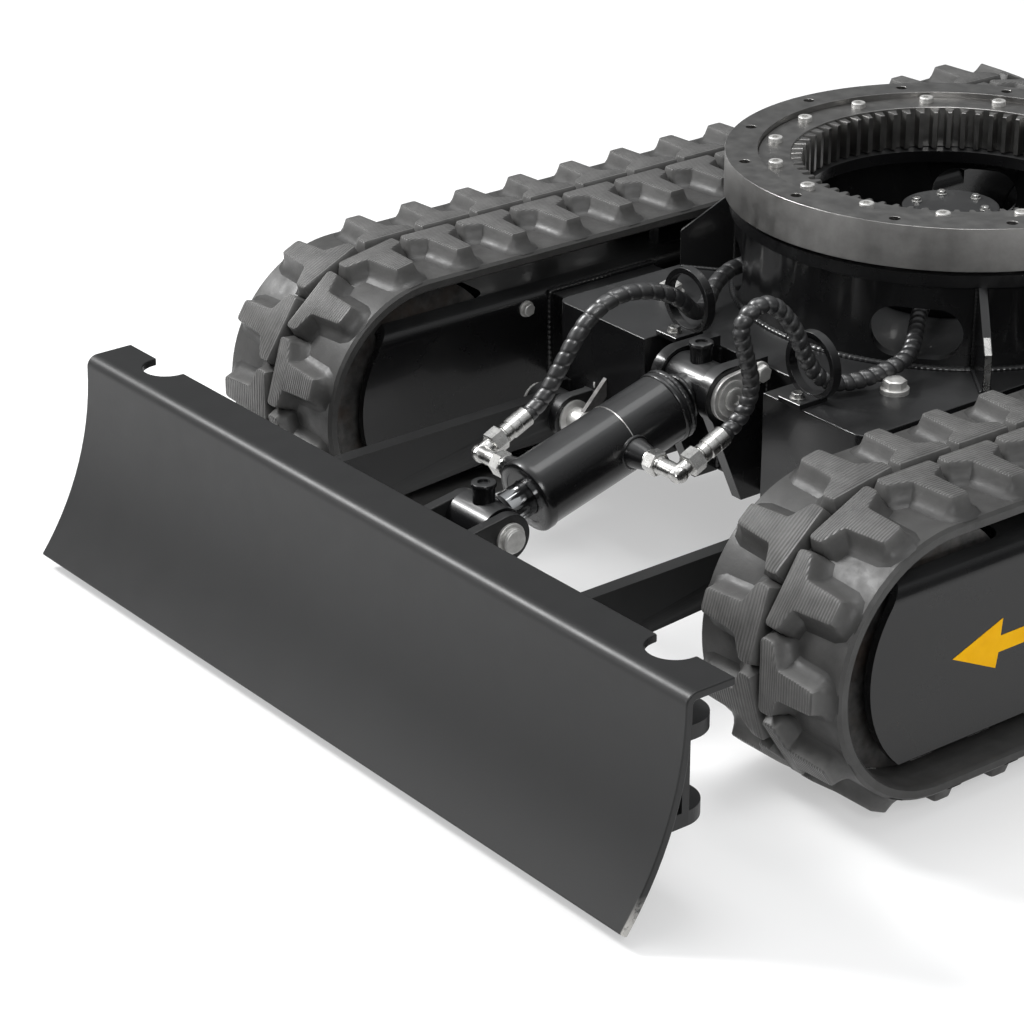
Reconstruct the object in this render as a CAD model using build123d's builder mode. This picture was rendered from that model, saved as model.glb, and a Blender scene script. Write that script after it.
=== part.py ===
"""Tracked undercarriage of a mini excavator, with its dozer blade.

Millimetres, +Z up. The origin is on the ground, in the middle of the length and the width. The blade
is at the front, at -Y, and +X is the operator's left.
"""

import math
import os

from build123d import *

# Overall sizes
BLADE_REACH = 369.0        # cutting edge to the idler's axle, along Y
GROUND_GAP = 15.0          # cutting edge above the ground as it stands

# Rubber track
TRACK_WIDTH = 180.0
PITCH = 72.0
LINKS = 36
SPROCKET_TEETH = 11
CORD_DEPTH = 8.0           # pitch line outside the belt's inner face
BELT = 13.0
LUG_HEIGHT = 19.0
LUG_SINK = 3.0             # lug roots start this far inside the belt
LUG_DRAFT = 18.0
LUG_ROOT_INNER = 4.0       # lug roots, measured out from the track's middle
LUG_ROOT_SHOULDER = 30.0
LUG_ROOT_OUTER = 88.0
LUG_ROOT_LONG = 31.0       # half lengths along the track
LUG_ROOT_SHORT = 17.0
HORN_HEIGHT = 22.0
HORN_INNER = 12.0
HORN_OUTER = 28.0
HORN_LENGTH = 30.0
HORN_SINK = 2.0

# Track frame, idler, rollers and drive
FRAME_WIDTH = 140.0
FRAME_PLATE = 8.0
FRAME_TOP = 230.0
FRAME_BOTTOM = 52.0
FRAME_BEND = 20.0
FRAME_NOSE = 75.0          # nose of the side plates ahead of the idler's axle
FRAME_NOSE_CORNER = 36.0   # upper and lower corners of the nose, ahead of that axle
FRAME_TAIL = 115.0         # outer plate ends this far ahead of the sprocket's axle
IDLER_SLOT = 102.0         # slot in the upper plate, behind the idler's axle
IDLER_SLOT_GAP = 5.0       # beside the idler's rims
IDLER_SLOT_CORNER = 20.0
TAIL_DISC_R = 85.0
TENSION_STOP = 345.0       # cross plate behind the idler's axle
TENSION_STOP_PLATE = 10.0
TENSION_STOP_BOTTOM = 114.0
WHEEL_GAP = 0.3            # running gap between wheels and belt
RIM_INNER = 30.0
RIM_OUTER = 46.0
IDLER_GROOVE_R = 88.0
IDLER_AXLE_R = 16.0
ROLLER_R = 38.0
ROLLER_COUNT = 3
ROLLER_SPACING = 210.0
ROLLER_WAIST_R = 13.0
ROLLER_AXLE_R = 10.0
YOKE_BAR = 11.0
YOKE_GAP = 1.0             # beside the frame's plates
YOKE_HEIGHT = 44.0
YOKE_REACH = 150.0         # axle to the back of the yoke's cross bar
SPRING_R = 30.0
SPRING_WALL = 10.0
TENSION_ROD_R = 14.0
SPROCKET_THICKNESS = 20.0
SPROCKET_SCALLOP_R = 17.0
MOTOR_CASE_R = 72.0
MOTOR_FLANGE_R = 88.0      # behind the sprocket
MOTOR_FLANGE = 8.0
MOTOR_CHAMFER = 6.0
MOTOR_COVER_R = 58.0
MOTOR_COVER = 14.0
MOTOR_CASE_REACH = 46.0    # case beyond the track's middle
MOTOR_BODY_R = 50.0
MOTOR_BODY_LENGTH = 60.0
SKID_LENGTH = 220.0

# Centre frame
CENTRE_MARGIN = 8.0        # box beyond the drum, each side
CENTRE_FRONT = 333.0       # ahead of the slew axis
CENTRE_REAR = 226.0        # behind the slew axis
CENTRE_TOP = 250.0
CENTRE_BOTTOM = 115.0
CENTRE_CORNER = 14.0
RECESS_HALF_WIDTH = 88.0
RECESS_DEPTH = 48.0
LEG_REACH = 77.0           # from the box to a track frame
LEG_LENGTH = 140.0         # legs out to the track frames, along Y
LEG_FRONT = 210.0          # middle of the front legs, ahead of the slew axis
LEG_REAR = 110.0           # middle of the rear legs, behind it
LEG_TOP = 222.0
LEG_BOTTOM = 130.0

# Slew pedestal, ring and swivel joint
DRUM_BEYOND_RACE = 22.0
DRUM_WALL = 12.0
FLANGE_LIP = 6.0           # flange beyond the drum
FLANGE_STEP = 15.0         # flange inside the inner ring
FLANGE_PLATE = 12.0
PEDESTAL_TOP = 350.0
WINDOW_WIDTH = 92.0
WINDOW_HEIGHT = 52.0
WINDOW_Z = 286.0
WINDOW_ANGLE = 37.0
GUSSET_REACH = 60.0        # beyond the drum
GUSSET_ANGLE = 53.0
GUSSET_PLATE = 8.0
GUSSET_TOE = 40.0          # height of a gusset's outer edge
INNER_RING_WALL = 33.0
INNER_RING_HEIGHT = 44.0
RACE_R = 198.0
RACE_GAP = 0.5
OUTER_RING_WALL = 34.0
OUTER_RING_LIFT = 6.0      # outer ring clear of the flange below it
OUTER_RING_HEIGHT = 44.0
RING_BOLT_INSET = 18.0     # bolt circle outside the race
RING_BOLT_COUNT = 12
RING_BOLT_R = 5.5
SWIVEL_R = 50.0
SWIVEL_HEIGHT = 92.0
SWIVEL_FOOT_R = 82.0
SWIVEL_FOOT = 12.0

# Dozer blade
BLADE_RAKE = 66.0          # cutting edge ahead of the upper bend
BLADE_HEIGHT = 202.0       # cutting edge to the top of the flange
BLADE_FLANGE = 53.0        # flange behind the bend
BLADE_PLATE = 8.0
BLADE_BEND = 12.0
NOTCH_R = 25.0
NOTCH_DEPTH = 28.0
NOTCH_INSET = 74.0         # from the blade's ends
RIB_PLATE = 14.0
UPPER_RIB_DROP = 38.0      # below the flange's top
RIB_SPACING = 80.0
UPPER_RIB_REACH = 53.0     # behind the bend
LOWER_RIB_REACH = 45.0
RIB_END_INSET = 12.0
RIB_CORNER = 30.0
WEB_START = 8.0            # front face of the web, behind the bend
WEB_PLATE = 8.0
ARM_INSET = 36.0           # arms inside the centre box's sides
ARM_PLATE = 16.0
ARM_BOSS_R = 22.0
ARM_BOSS_WIDTH = 26.0
PIVOT_AHEAD = 360.0        # arm pivot ahead of the slew axis
PIVOT_Z = 146.0
PIVOT_PIN_R = 12.5
EAR_PLATE = 12.0
EAR_R = 24.0
PIN_GAP = 0.05             # running gap between a pin and its bore
SIDE_GAP = 1.0             # beside bosses and eyes

# Blade cylinder
FRAME_PIN_AHEAD = 335.0    # ahead of the slew axis
FRAME_PIN_Z = 231.0
BLADE_PIN_BEHIND = 150.0   # behind the bend
BLADE_PIN_Z = 156.0
FRAME_PIN_R = 14.0
BLADE_PIN_R = 12.5
EYE_WIDTH = 54.0
EYE_R = 26.0
EYE_NECK_R = 21.0
EYE_TUBE_R = 11.0          # upright grease tube on each eye
EYE_TUBE_BORE_R = 6.0
EYE_TUBE_TOP = 44.0        # above the pin
BRACKET_PLATE = 14.0
BRACKET_R = 30.0
CLEVIS_PLATE = 12.0
CLEVIS_R = 24.0
FLAG_R = 24.0              # lock plate on the frame pin
FLAG_TAIL_R = 9.0
FLAG_TAIL_BEHIND = 34.0
FLAG_TAIL_ABOVE = 19.0
FLAG_PLATE = 6.0
PIN_END = 8.0              # pins stand out this far beside their plates
ROD_EYE_GAP = 4.5          # the rod's eye is looser on its pin than the other pivots
BARREL_R = 36.0
BARREL_BORE_R = 29.0
BARREL_START = 41.0        # from the frame pin, along the cylinder
ROD_SHOWN = 52.3           # barrel's end to the blade pin
BARREL_CAP = 14.0
GLAND_LENGTH = 30.0
ROD_R = 17.5
ROD_END_GAP = 35.0         # rod's inner end off the barrel's cap
LEFT_PORT_INSET = 75.0     # from the barrel's frame end
RIGHT_PORT_INSET = 23.0    # from the barrel's blade end
PORT_ROOT_R = 16.0
PORT_R = 11.5
PORT_LENGTH = 20.0
TUBE_R = 8.0
ELBOW_REACH = 62.0         # elbow's corner from the barrel's wall
NUT_R = 13.0
NUT_LENGTH = 14.0
FERRULE_R = 10.5
FERRULE_START = 20.0       # from the elbow's corner
FERRULE_END = 62.0
FERRULE_RISE = 24.0        # degrees above level

# Hoses and their guide rings
HOSE_R = 8.5
HOSE_START = 20.0          # straight out of the ferrule
BEND_SHARE = 0.45          # of the shorter run beside each bend
GUIDE_R = 34.0
GUIDE_BAR = 6.0
GUIDE_DEPTH = 10.0
GUIDE_FOOT = 16.0
LEFT_GUIDE = (127.0, -305.0, 284.0)      # middles of the guide rings; Y from the slew axis
RIGHT_GUIDE = (-75.0, -286.0, 284.0)
SWIVEL_PORT_Z = 292.0
SWIVEL_PORT_ANGLE = 45.0

# Places worked out from the sizes above
PITCH_R = SPROCKET_TEETH * PITCH / (2 * math.pi)
INNER_R = PITCH_R - CORD_DEPTH
BELT_R = INNER_R + BELT
OUTER_R = BELT_R + LUG_HEIGHT
WHEELBASE = (LINKS - SPROCKET_TEETH) * PITCH / 2
HALF_LINK_TURN = PITCH / PITCH_R / 2
LUG_SLOPE = math.tan(math.radians(LUG_DRAFT))
# Lugs on the bends are flat, and low enough for their corners to stay inside the outer outline
BEND_LUG_R = math.sqrt(OUTER_R ** 2 - (LUG_ROOT_LONG - LUG_HEIGHT * LUG_SLOPE) ** 2)
BEND_LAND = LUG_ROOT_LONG - (LUG_SINK + BEND_LUG_R - BELT_R) * LUG_SLOPE
REAR_REACH = max(BEND_LUG_R, BEND_LUG_R * math.cos(HALF_LINK_TURN) + BEND_LAND * math.sin(HALF_LINK_TURN))
LENGTH = BLADE_REACH + WHEELBASE + REAR_REACH
EDGE_Y = -LENGTH / 2
IDLER_Y = EDGE_Y + BLADE_REACH
SPROCKET_Y = IDLER_Y + WHEELBASE
SLEW_Y = (IDLER_Y + SPROCKET_Y) / 2
AXLE_Z = OUTER_R
FRAME_X = FRAME_WIDTH / 2
FRAME_INSIDE = FRAME_X - FRAME_PLATE
INNER_RING_R = RACE_R - INNER_RING_WALL
OUTER_RING_R = RACE_R + OUTER_RING_WALL
DRUM_R = RACE_R + DRUM_BEYOND_RACE
FLANGE_R = DRUM_R + FLANGE_LIP
FLANGE_BORE_R = INNER_RING_R - FLANGE_STEP
GUSSET_R = DRUM_R + GUSSET_REACH
CENTRE_HALF_WIDTH = DRUM_R + CENTRE_MARGIN
TRACK_X = CENTRE_HALF_WIDTH + LEG_REACH + FRAME_X
ARM_X = CENTRE_HALF_WIDTH - ARM_INSET
BEND_Y = EDGE_Y + BLADE_RAKE
FLANGE_Z = GROUND_GAP + BLADE_HEIGHT
UPPER_RIB_TOP = FLANGE_Z - UPPER_RIB_DROP
LOWER_RIB_TOP = UPPER_RIB_TOP - RIB_SPACING
HALF_BLADE = TRACK_X + TRACK_WIDTH / 2
NOTCH_X = HALF_BLADE - NOTCH_INSET
CENTRE_FRONT_Y = SLEW_Y - CENTRE_FRONT
RECESS_Y = CENTRE_FRONT_Y + RECESS_DEPTH
PIVOT_Y = SLEW_Y - PIVOT_AHEAD
FRAME_PIN_Y = SLEW_Y - FRAME_PIN_AHEAD
BLADE_PIN_Y = BEND_Y + BLADE_PIN_BEHIND
WEB_REAR_Y = BEND_Y + WEB_START + WEB_PLATE
EYE_X = EYE_WIDTH / 2 + SIDE_GAP
ROLLER_Z = AXLE_Z - INNER_R + ROLLER_R

CYLINDER_LENGTH = math.hypot(FRAME_PIN_Y - BLADE_PIN_Y, FRAME_PIN_Z - BLADE_PIN_Z)
CYLINDER_DIRECTION = Vector(0, BLADE_PIN_Y - FRAME_PIN_Y, BLADE_PIN_Z - FRAME_PIN_Z).normalized()
BARREL_END = CYLINDER_LENGTH - ROD_SHOWN
ROD_START = BARREL_START + BARREL_CAP + ROD_END_GAP
LEFT_PORT = BARREL_START + LEFT_PORT_INSET
RIGHT_PORT = BARREL_END - RIGHT_PORT_INSET
CYLINDER = Plane(origin=(0, FRAME_PIN_Y, FRAME_PIN_Z), x_dir=(1, 0, 0), z_dir=CYLINDER_DIRECTION)

os.makedirs("parts", exist_ok=True)


def save(part, name):
    """Labels a finished piece and writes it under its own name."""
    part.label = name
    export_step(part, f"parts/{name}.step")


def save_pair(part, name):
    """Writes a piece built on the operator's left, and its mirror image on the right."""
    save(part, f"{name}_left")
    save(mirror(part, about=Plane.YZ), f"{name}_right")


def bar(start, end, y, z, radius, mode=Mode.ADD):
    """A round bar or bore along X."""
    with Locations(Plane(origin=(start, y, z), x_dir=(0, 1, 0), z_dir=(1, 0, 0))):
        Cylinder(radius, end - start, align=(Align.CENTER, Align.CENTER, Align.MIN), mode=mode)


def block(x_range, y_range, z_range, mode=Mode.ADD):
    """A plain block between two corners."""
    with Locations((x_range[0], y_range[0], z_range[0])):
        Box(x_range[1] - x_range[0], y_range[1] - y_range[0], z_range[1] - z_range[0],
            align=(Align.MIN, Align.MIN, Align.MIN), mode=mode)


def loop_outline(radius):
    """Corners of the belt's outline: straight runs, and a flat for each half link round the bends."""
    flats = [math.pi / 2 + HALF_LINK_TURN / 2]
    while flats[-1] > -math.pi / 2:
        flats.append(flats[-1] - HALF_LINK_TURN)
    flats = [math.pi / 2] + flats[1:-1] + [-math.pi / 2]
    corners = []
    for upper, lower in zip(flats, flats[1:]):
        turn = (upper + lower) / 2
        reach = radius / math.cos((upper - lower) / 2)
        corners.append((reach * math.cos(turn), reach * math.sin(turn)))
    rear = [(SPROCKET_Y + y, AXLE_Z + z) for y, z in corners]
    front = [(IDLER_Y - y, AXLE_Z + z) for y, z in reversed(corners)]
    return rear + front


def on_bend(distance):
    """Whether a place along the track, counted as in loop_plane, is on a bend."""
    wrap = SPROCKET_TEETH * PITCH / 2
    along = (distance + wrap / 2) % (wrap + WHEELBASE)
    return along < wrap


def loop_plane(distance, radius, outward=1):
    """A plane on the track, a distance along its pitch line from the rearmost point, upper run first.

    Its X runs across the track and its Z out of the belt, or into the loop where outward is -1.
    """
    wrap = SPROCKET_TEETH * PITCH / 2
    runs = (wrap / 2, WHEELBASE, wrap, WHEELBASE, wrap / 2)
    along = distance % (LINKS * PITCH)
    index = 0
    while along > runs[index]:
        along -= runs[index]
        index += 1
    starts = (0, math.pi / 2, math.pi / 2, 3 * math.pi / 2, 3 * math.pi / 2)
    turn = along / PITCH_R if index in (0, 2, 4) else 0
    shift = {1: -along, 2: -WHEELBASE, 3: along - WHEELBASE}.get(index, 0)
    normal = Vector(0, math.cos(starts[index] + turn), math.sin(starts[index] + turn))
    origin = Vector(TRACK_X, SPROCKET_Y + shift, AXLE_Z) + normal * radius
    return Plane(origin=origin, x_dir=(1, 0, 0), z_dir=normal * outward)


# Rubber track: a belt round idler and sprocket, two staggered rows of lugs, and guide horns inside
with BuildPart() as track:
    with BuildSketch(Plane.YZ.offset(TRACK_X - TRACK_WIDTH / 2)):
        Polygon(*loop_outline(BELT_R), align=None)
        Polygon(*loop_outline(INNER_R), align=None, mode=Mode.SUBTRACT)
    extrude(amount=TRACK_WIDTH)
    for side in (1, -1):
        stagger = 0 if side > 0 else PITCH / 2
        lug_root = [
            (side * LUG_ROOT_INNER, -LUG_ROOT_LONG),
            (side * LUG_ROOT_SHOULDER, -LUG_ROOT_LONG),
            (side * LUG_ROOT_OUTER, -LUG_ROOT_SHORT),
            (side * LUG_ROOT_OUTER, LUG_ROOT_SHORT),
            (side * LUG_ROOT_SHOULDER, LUG_ROOT_LONG),
            (side * LUG_ROOT_INNER, LUG_ROOT_LONG),
        ]
        places = [link * PITCH + stagger for link in range(LINKS)]
        for bent, tip in ((True, BEND_LUG_R), (False, OUTER_R)):
            seats = [loop_plane(place, BELT_R - LUG_SINK) for place in places if on_bend(place) == bent]
            with BuildSketch(*seats):
                Polygon(*lug_root[::side], align=None)
            extrude(amount=LUG_SINK + tip - BELT_R, taper=LUG_DRAFT)
    # The horns stand on alternate sides of the wheels' middle
    for side, first in ((1, 0), (-1, 1)):
        horn_seats = []
        for link in range(first, LINKS, 2):
            seat = loop_plane(link * PITCH, INNER_R, -1)
            end = seat.origin + seat.y_dir * (HORN_LENGTH / 2)
            horn_seats.append(Plane(origin=end, x_dir=(1, 0, 0), z_dir=-seat.y_dir))
        ridge = [(side * HORN_INNER, -HORN_SINK), (side * HORN_OUTER, -HORN_SINK),
                 (side * (HORN_INNER + HORN_OUTER) / 2, HORN_HEIGHT)]
        with BuildSketch(*horn_seats):
            Polygon(*ridge[::side], align=None)
        extrude(amount=HORN_LENGTH)
save_pair(track.part, "track")

# Track frame: a folded channel, open below, with a rounded nose and a slot above the idler
NOSE_Y = IDLER_Y - FRAME_NOSE
NOSE_CORNER_Y = IDLER_Y - FRAME_NOSE_CORNER
TAIL_Y = SPROCKET_Y - FRAME_TAIL
FRAME_MIDDLE = (FRAME_TOP + FRAME_BOTTOM) / 2
with BuildPart() as track_frame:
    with BuildSketch(Plane.YZ.offset(TRACK_X - FRAME_X)):
        with BuildLine():
            Polyline((NOSE_CORNER_Y, FRAME_TOP), (TAIL_Y, FRAME_TOP), (TAIL_Y, FRAME_BOTTOM),
                     (NOSE_CORNER_Y, FRAME_BOTTOM))
            ThreePointArc((NOSE_CORNER_Y, FRAME_BOTTOM), (NOSE_Y, FRAME_MIDDLE), (NOSE_CORNER_Y, FRAME_TOP))
        make_face()
    extrude(amount=FRAME_WIDTH)
    fillet(track_frame.edges().filter_by(Axis.Y).group_by(Axis.Z)[-1], FRAME_BEND)
    with BuildSketch(Plane.XZ.offset(-NOSE_Y)) as channel:
        with Locations((TRACK_X, 0)):
            Rectangle(2 * FRAME_INSIDE, FRAME_TOP - FRAME_PLATE, align=(Align.CENTER, Align.MIN))
        fillet(channel.vertices().group_by(Axis.Y)[-1], FRAME_BEND - FRAME_PLATE)
    extrude(amount=-WHEELBASE, mode=Mode.SUBTRACT)
    with BuildSketch(Plane.XY.offset(FRAME_TOP)):
        with Locations((TRACK_X, NOSE_Y)):
            RectangleRounded(2 * (RIM_OUTER + IDLER_SLOT_GAP), 2 * (IDLER_SLOT + FRAME_NOSE),
                             IDLER_SLOT_CORNER)
    extrude(amount=-2 * FRAME_PLATE, mode=Mode.SUBTRACT)
    # The inner plate alone goes on to carry the travel motor
    with BuildSketch(Plane.YZ.offset(TRACK_X - FRAME_X)):
        with Locations((SPROCKET_Y, AXLE_Z)):
            Circle(TAIL_DISC_R)
        with Locations((TAIL_Y, AXLE_Z)):
            Rectangle(FRAME_TAIL, 2 * TAIL_DISC_R - 2 * FRAME_PLATE, align=(Align.MIN, Align.CENTER))
    extrude(amount=FRAME_PLATE)
    block((TRACK_X - FRAME_INSIDE, TRACK_X + FRAME_INSIDE),
          (IDLER_Y + TENSION_STOP, IDLER_Y + TENSION_STOP + TENSION_STOP_PLATE),
          (TENSION_STOP_BOTTOM, FRAME_TOP - FRAME_PLATE))
    # Rails under the upper run of the track
    for side in (1, -1):
        rail = sorted((TRACK_X + side * RIM_INNER, TRACK_X + side * RIM_OUTER))
        block(rail, (SLEW_Y - SKID_LENGTH / 2, SLEW_Y + SKID_LENGTH / 2),
              (FRAME_TOP - FRAME_PLATE, AXLE_Z + INNER_R - WHEEL_GAP))
save_pair(track_frame.part, "track_frame")

# Idler: two rims either side of the horns, on a web
with BuildPart() as idler:
    bar(TRACK_X - RIM_OUTER, TRACK_X + RIM_OUTER, IDLER_Y, AXLE_Z, INNER_R - WHEEL_GAP)
    with BuildSketch(Plane.YZ.offset(TRACK_X - RIM_INNER)):
        with Locations((IDLER_Y, AXLE_Z)):
            Circle(INNER_R)
            Circle(IDLER_GROOVE_R, mode=Mode.SUBTRACT)
    extrude(amount=2 * RIM_INNER, mode=Mode.SUBTRACT)
    bar(TRACK_X - RIM_OUTER, TRACK_X + RIM_OUTER, IDLER_Y, AXLE_Z, IDLER_AXLE_R, Mode.SUBTRACT)
save_pair(idler.part, "idler")

# Idler yoke: two bars on the axle, a cross bar, and the tension rod behind it
BAR_X = FRAME_INSIDE - YOKE_GAP - YOKE_BAR
with BuildPart() as idler_yoke:
    for side in (1, -1):
        bar_x = sorted((TRACK_X + side * BAR_X, TRACK_X + side * (BAR_X + YOKE_BAR)))
        block(bar_x, (IDLER_Y, IDLER_Y + YOKE_REACH), (AXLE_Z - YOKE_HEIGHT / 2, AXLE_Z + YOKE_HEIGHT / 2))
        bar(bar_x[0], bar_x[1], IDLER_Y, AXLE_Z, YOKE_HEIGHT / 2)
    block((TRACK_X - BAR_X, TRACK_X + BAR_X), (IDLER_Y + YOKE_REACH - YOKE_BAR, IDLER_Y + YOKE_REACH),
          (AXLE_Z - YOKE_HEIGHT / 2, AXLE_Z + YOKE_HEIGHT / 2))
    bar(TRACK_X - BAR_X, TRACK_X + BAR_X, IDLER_Y, AXLE_Z, IDLER_AXLE_R)
    with BuildSketch(Plane.XZ.offset(-IDLER_Y - YOKE_REACH)):
        with Locations((TRACK_X, AXLE_Z)):
            Circle(TENSION_ROD_R)
    extrude(amount=YOKE_REACH - TENSION_STOP)
save_pair(idler_yoke.part, "idler_yoke")

# Tension spring on the rod
with BuildPart() as tension_spring:
    with BuildSketch(Plane.XZ.offset(-IDLER_Y - YOKE_REACH)):
        with Locations((TRACK_X, AXLE_Z)):
            Circle(SPRING_R)
            Circle(SPRING_R - SPRING_WALL, mode=Mode.SUBTRACT)
    extrude(amount=YOKE_REACH - TENSION_STOP)
save_pair(tension_spring.part, "tension_spring")

# Track rollers
with BuildPart() as track_rollers:
    for index in range(ROLLER_COUNT):
        roller_y = SLEW_Y + (index - (ROLLER_COUNT - 1) / 2) * ROLLER_SPACING
        bar(TRACK_X - FRAME_INSIDE, TRACK_X + FRAME_INSIDE, roller_y, ROLLER_Z, ROLLER_AXLE_R)
        bar(TRACK_X - RIM_OUTER, TRACK_X + RIM_OUTER, roller_y, ROLLER_Z, ROLLER_WAIST_R)
        bar(TRACK_X + RIM_INNER, TRACK_X + RIM_OUTER, roller_y, ROLLER_Z, ROLLER_R - WHEEL_GAP)
        bar(TRACK_X - RIM_OUTER, TRACK_X - RIM_INNER, roller_y, ROLLER_Z, ROLLER_R - WHEEL_GAP)
save_pair(track_rollers.part, "track_rollers")

# Sprocket: a scalloped disc that meets the belt between the horns
with BuildPart() as sprocket:
    with BuildSketch(Plane.YZ.offset(TRACK_X - SPROCKET_THICKNESS / 2)):
        with Locations((SPROCKET_Y, AXLE_Z)):
            Circle(INNER_R - WHEEL_GAP)
            with PolarLocations(PITCH_R, SPROCKET_TEETH):
                Circle(SPROCKET_SCALLOP_R, mode=Mode.SUBTRACT)
    extrude(amount=SPROCKET_THICKNESS)
    bar(TRACK_X - FRAME_X, TRACK_X + FRAME_X, SPROCKET_Y, AXLE_Z, MOTOR_CASE_R, Mode.SUBTRACT)
save_pair(sprocket.part, "sprocket")

# Travel motor: gear case through the sprocket, motor body inboard of the frame
with BuildPart() as travel_motor:
    bar(TRACK_X - FRAME_INSIDE, TRACK_X + MOTOR_CASE_REACH, SPROCKET_Y, AXLE_Z, MOTOR_CASE_R)
    bar(TRACK_X - SPROCKET_THICKNESS / 2 - MOTOR_FLANGE, TRACK_X - SPROCKET_THICKNESS / 2, SPROCKET_Y, AXLE_Z,
        MOTOR_FLANGE_R)
    bar(TRACK_X + MOTOR_CASE_REACH, TRACK_X + MOTOR_CASE_REACH + MOTOR_COVER, SPROCKET_Y, AXLE_Z,
        MOTOR_COVER_R)
    chamfer(travel_motor.edges().group_by(Axis.X)[-1], MOTOR_CHAMFER)
save_pair(travel_motor.part, "travel_motor")
with BuildPart() as travel_motor_body:
    bar(TRACK_X - FRAME_X - MOTOR_BODY_LENGTH, TRACK_X - FRAME_X, SPROCKET_Y, AXLE_Z, MOTOR_BODY_R)
    chamfer(travel_motor_body.edges().group_by(Axis.X)[0], MOTOR_CHAMFER)
save_pair(travel_motor_body.part, "travel_motor_body")

# Centre frame: a closed box with a recess for the blade cylinder
with BuildPart() as centre_frame:
    with BuildSketch(Plane.XY.offset(CENTRE_BOTTOM)) as plan:
        with Locations((0, SLEW_Y + CENTRE_REAR)):
            Rectangle(2 * CENTRE_HALF_WIDTH, CENTRE_FRONT + CENTRE_REAR, align=(Align.CENTER, Align.MAX))
        fillet(plan.vertices(), CENTRE_CORNER)
        with Locations((0, CENTRE_FRONT_Y)):
            Rectangle(2 * RECESS_HALF_WIDTH, 2 * RECESS_DEPTH, mode=Mode.SUBTRACT)
    extrude(amount=CENTRE_TOP - CENTRE_BOTTOM)
save(centre_frame.part, "centre_frame")

# Legs from the centre frame out to the track frames
with BuildPart() as frame_legs:
    for middle in (SLEW_Y - LEG_FRONT, SLEW_Y + LEG_REAR):
        block((CENTRE_HALF_WIDTH, TRACK_X - FRAME_X), (middle - LEG_LENGTH / 2, middle + LEG_LENGTH / 2),
              (LEG_BOTTOM, LEG_TOP))
save_pair(frame_legs.part, "frame_legs")

# Ears for the blade's push arms, on the front of the centre frame
EAR_X = ARM_X + ARM_BOSS_WIDTH / 2 + SIDE_GAP
EAR_INNER_X = ARM_X - ARM_BOSS_WIDTH / 2 - SIDE_GAP - EAR_PLATE
with BuildPart() as arm_ears:
    for start in (EAR_X, EAR_INNER_X):
        with BuildSketch(Plane.YZ.offset(start)):
            with Locations((PIVOT_Y, PIVOT_Z)):
                Circle(EAR_R)
                Rectangle(CENTRE_FRONT_Y - PIVOT_Y, 2 * EAR_R, align=(Align.MIN, Align.CENTER))
                Circle(PIVOT_PIN_R, mode=Mode.SUBTRACT)
        extrude(amount=EAR_PLATE)
save_pair(arm_ears.part, "arm_ears")
with BuildPart() as arm_pin:
    bar(EAR_INNER_X - PIN_END, EAR_X + EAR_PLATE + PIN_END, PIVOT_Y, PIVOT_Z, PIVOT_PIN_R)
save_pair(arm_pin.part, "arm_pin")

# Bracket and pin for the blade cylinder, in the recess
with BuildPart() as cylinder_bracket:
    for start in (EYE_X, -EYE_X - BRACKET_PLATE):
        with BuildSketch(Plane.YZ.offset(start)):
            with Locations((FRAME_PIN_Y, FRAME_PIN_Z)):
                Circle(BRACKET_R)
            with BuildLine():
                Polyline((FRAME_PIN_Y, FRAME_PIN_Z + BRACKET_R), (RECESS_Y, FRAME_PIN_Z + BRACKET_R),
                         (RECESS_Y, CENTRE_BOTTOM), (RECESS_Y - BRACKET_R, CENTRE_BOTTOM),
                         (FRAME_PIN_Y - BRACKET_R, FRAME_PIN_Z), (FRAME_PIN_Y, FRAME_PIN_Z + BRACKET_R))
            make_face()
            with Locations((FRAME_PIN_Y, FRAME_PIN_Z)):
                Circle(FRAME_PIN_R, mode=Mode.SUBTRACT)
        extrude(amount=BRACKET_PLATE)
save(cylinder_bracket.part, "cylinder_bracket")
with BuildPart() as frame_pin:
    reach = EYE_X + BRACKET_PLATE + PIN_END
    bar(-reach, reach, FRAME_PIN_Y, FRAME_PIN_Z, FRAME_PIN_R)
    # Lock plate, bolted to the bracket behind the pin
    with BuildSketch(Plane.YZ.offset(EYE_X + BRACKET_PLATE)) as flag:
        with Locations((FRAME_PIN_Y, FRAME_PIN_Z)):
            Circle(FLAG_R)
            with Locations((FLAG_TAIL_BEHIND, FLAG_TAIL_ABOVE)):
                Circle(FLAG_TAIL_R)
        make_hull(flag.edges())
    extrude(amount=FLAG_PLATE)
save(frame_pin.part, "frame_pin")

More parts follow.
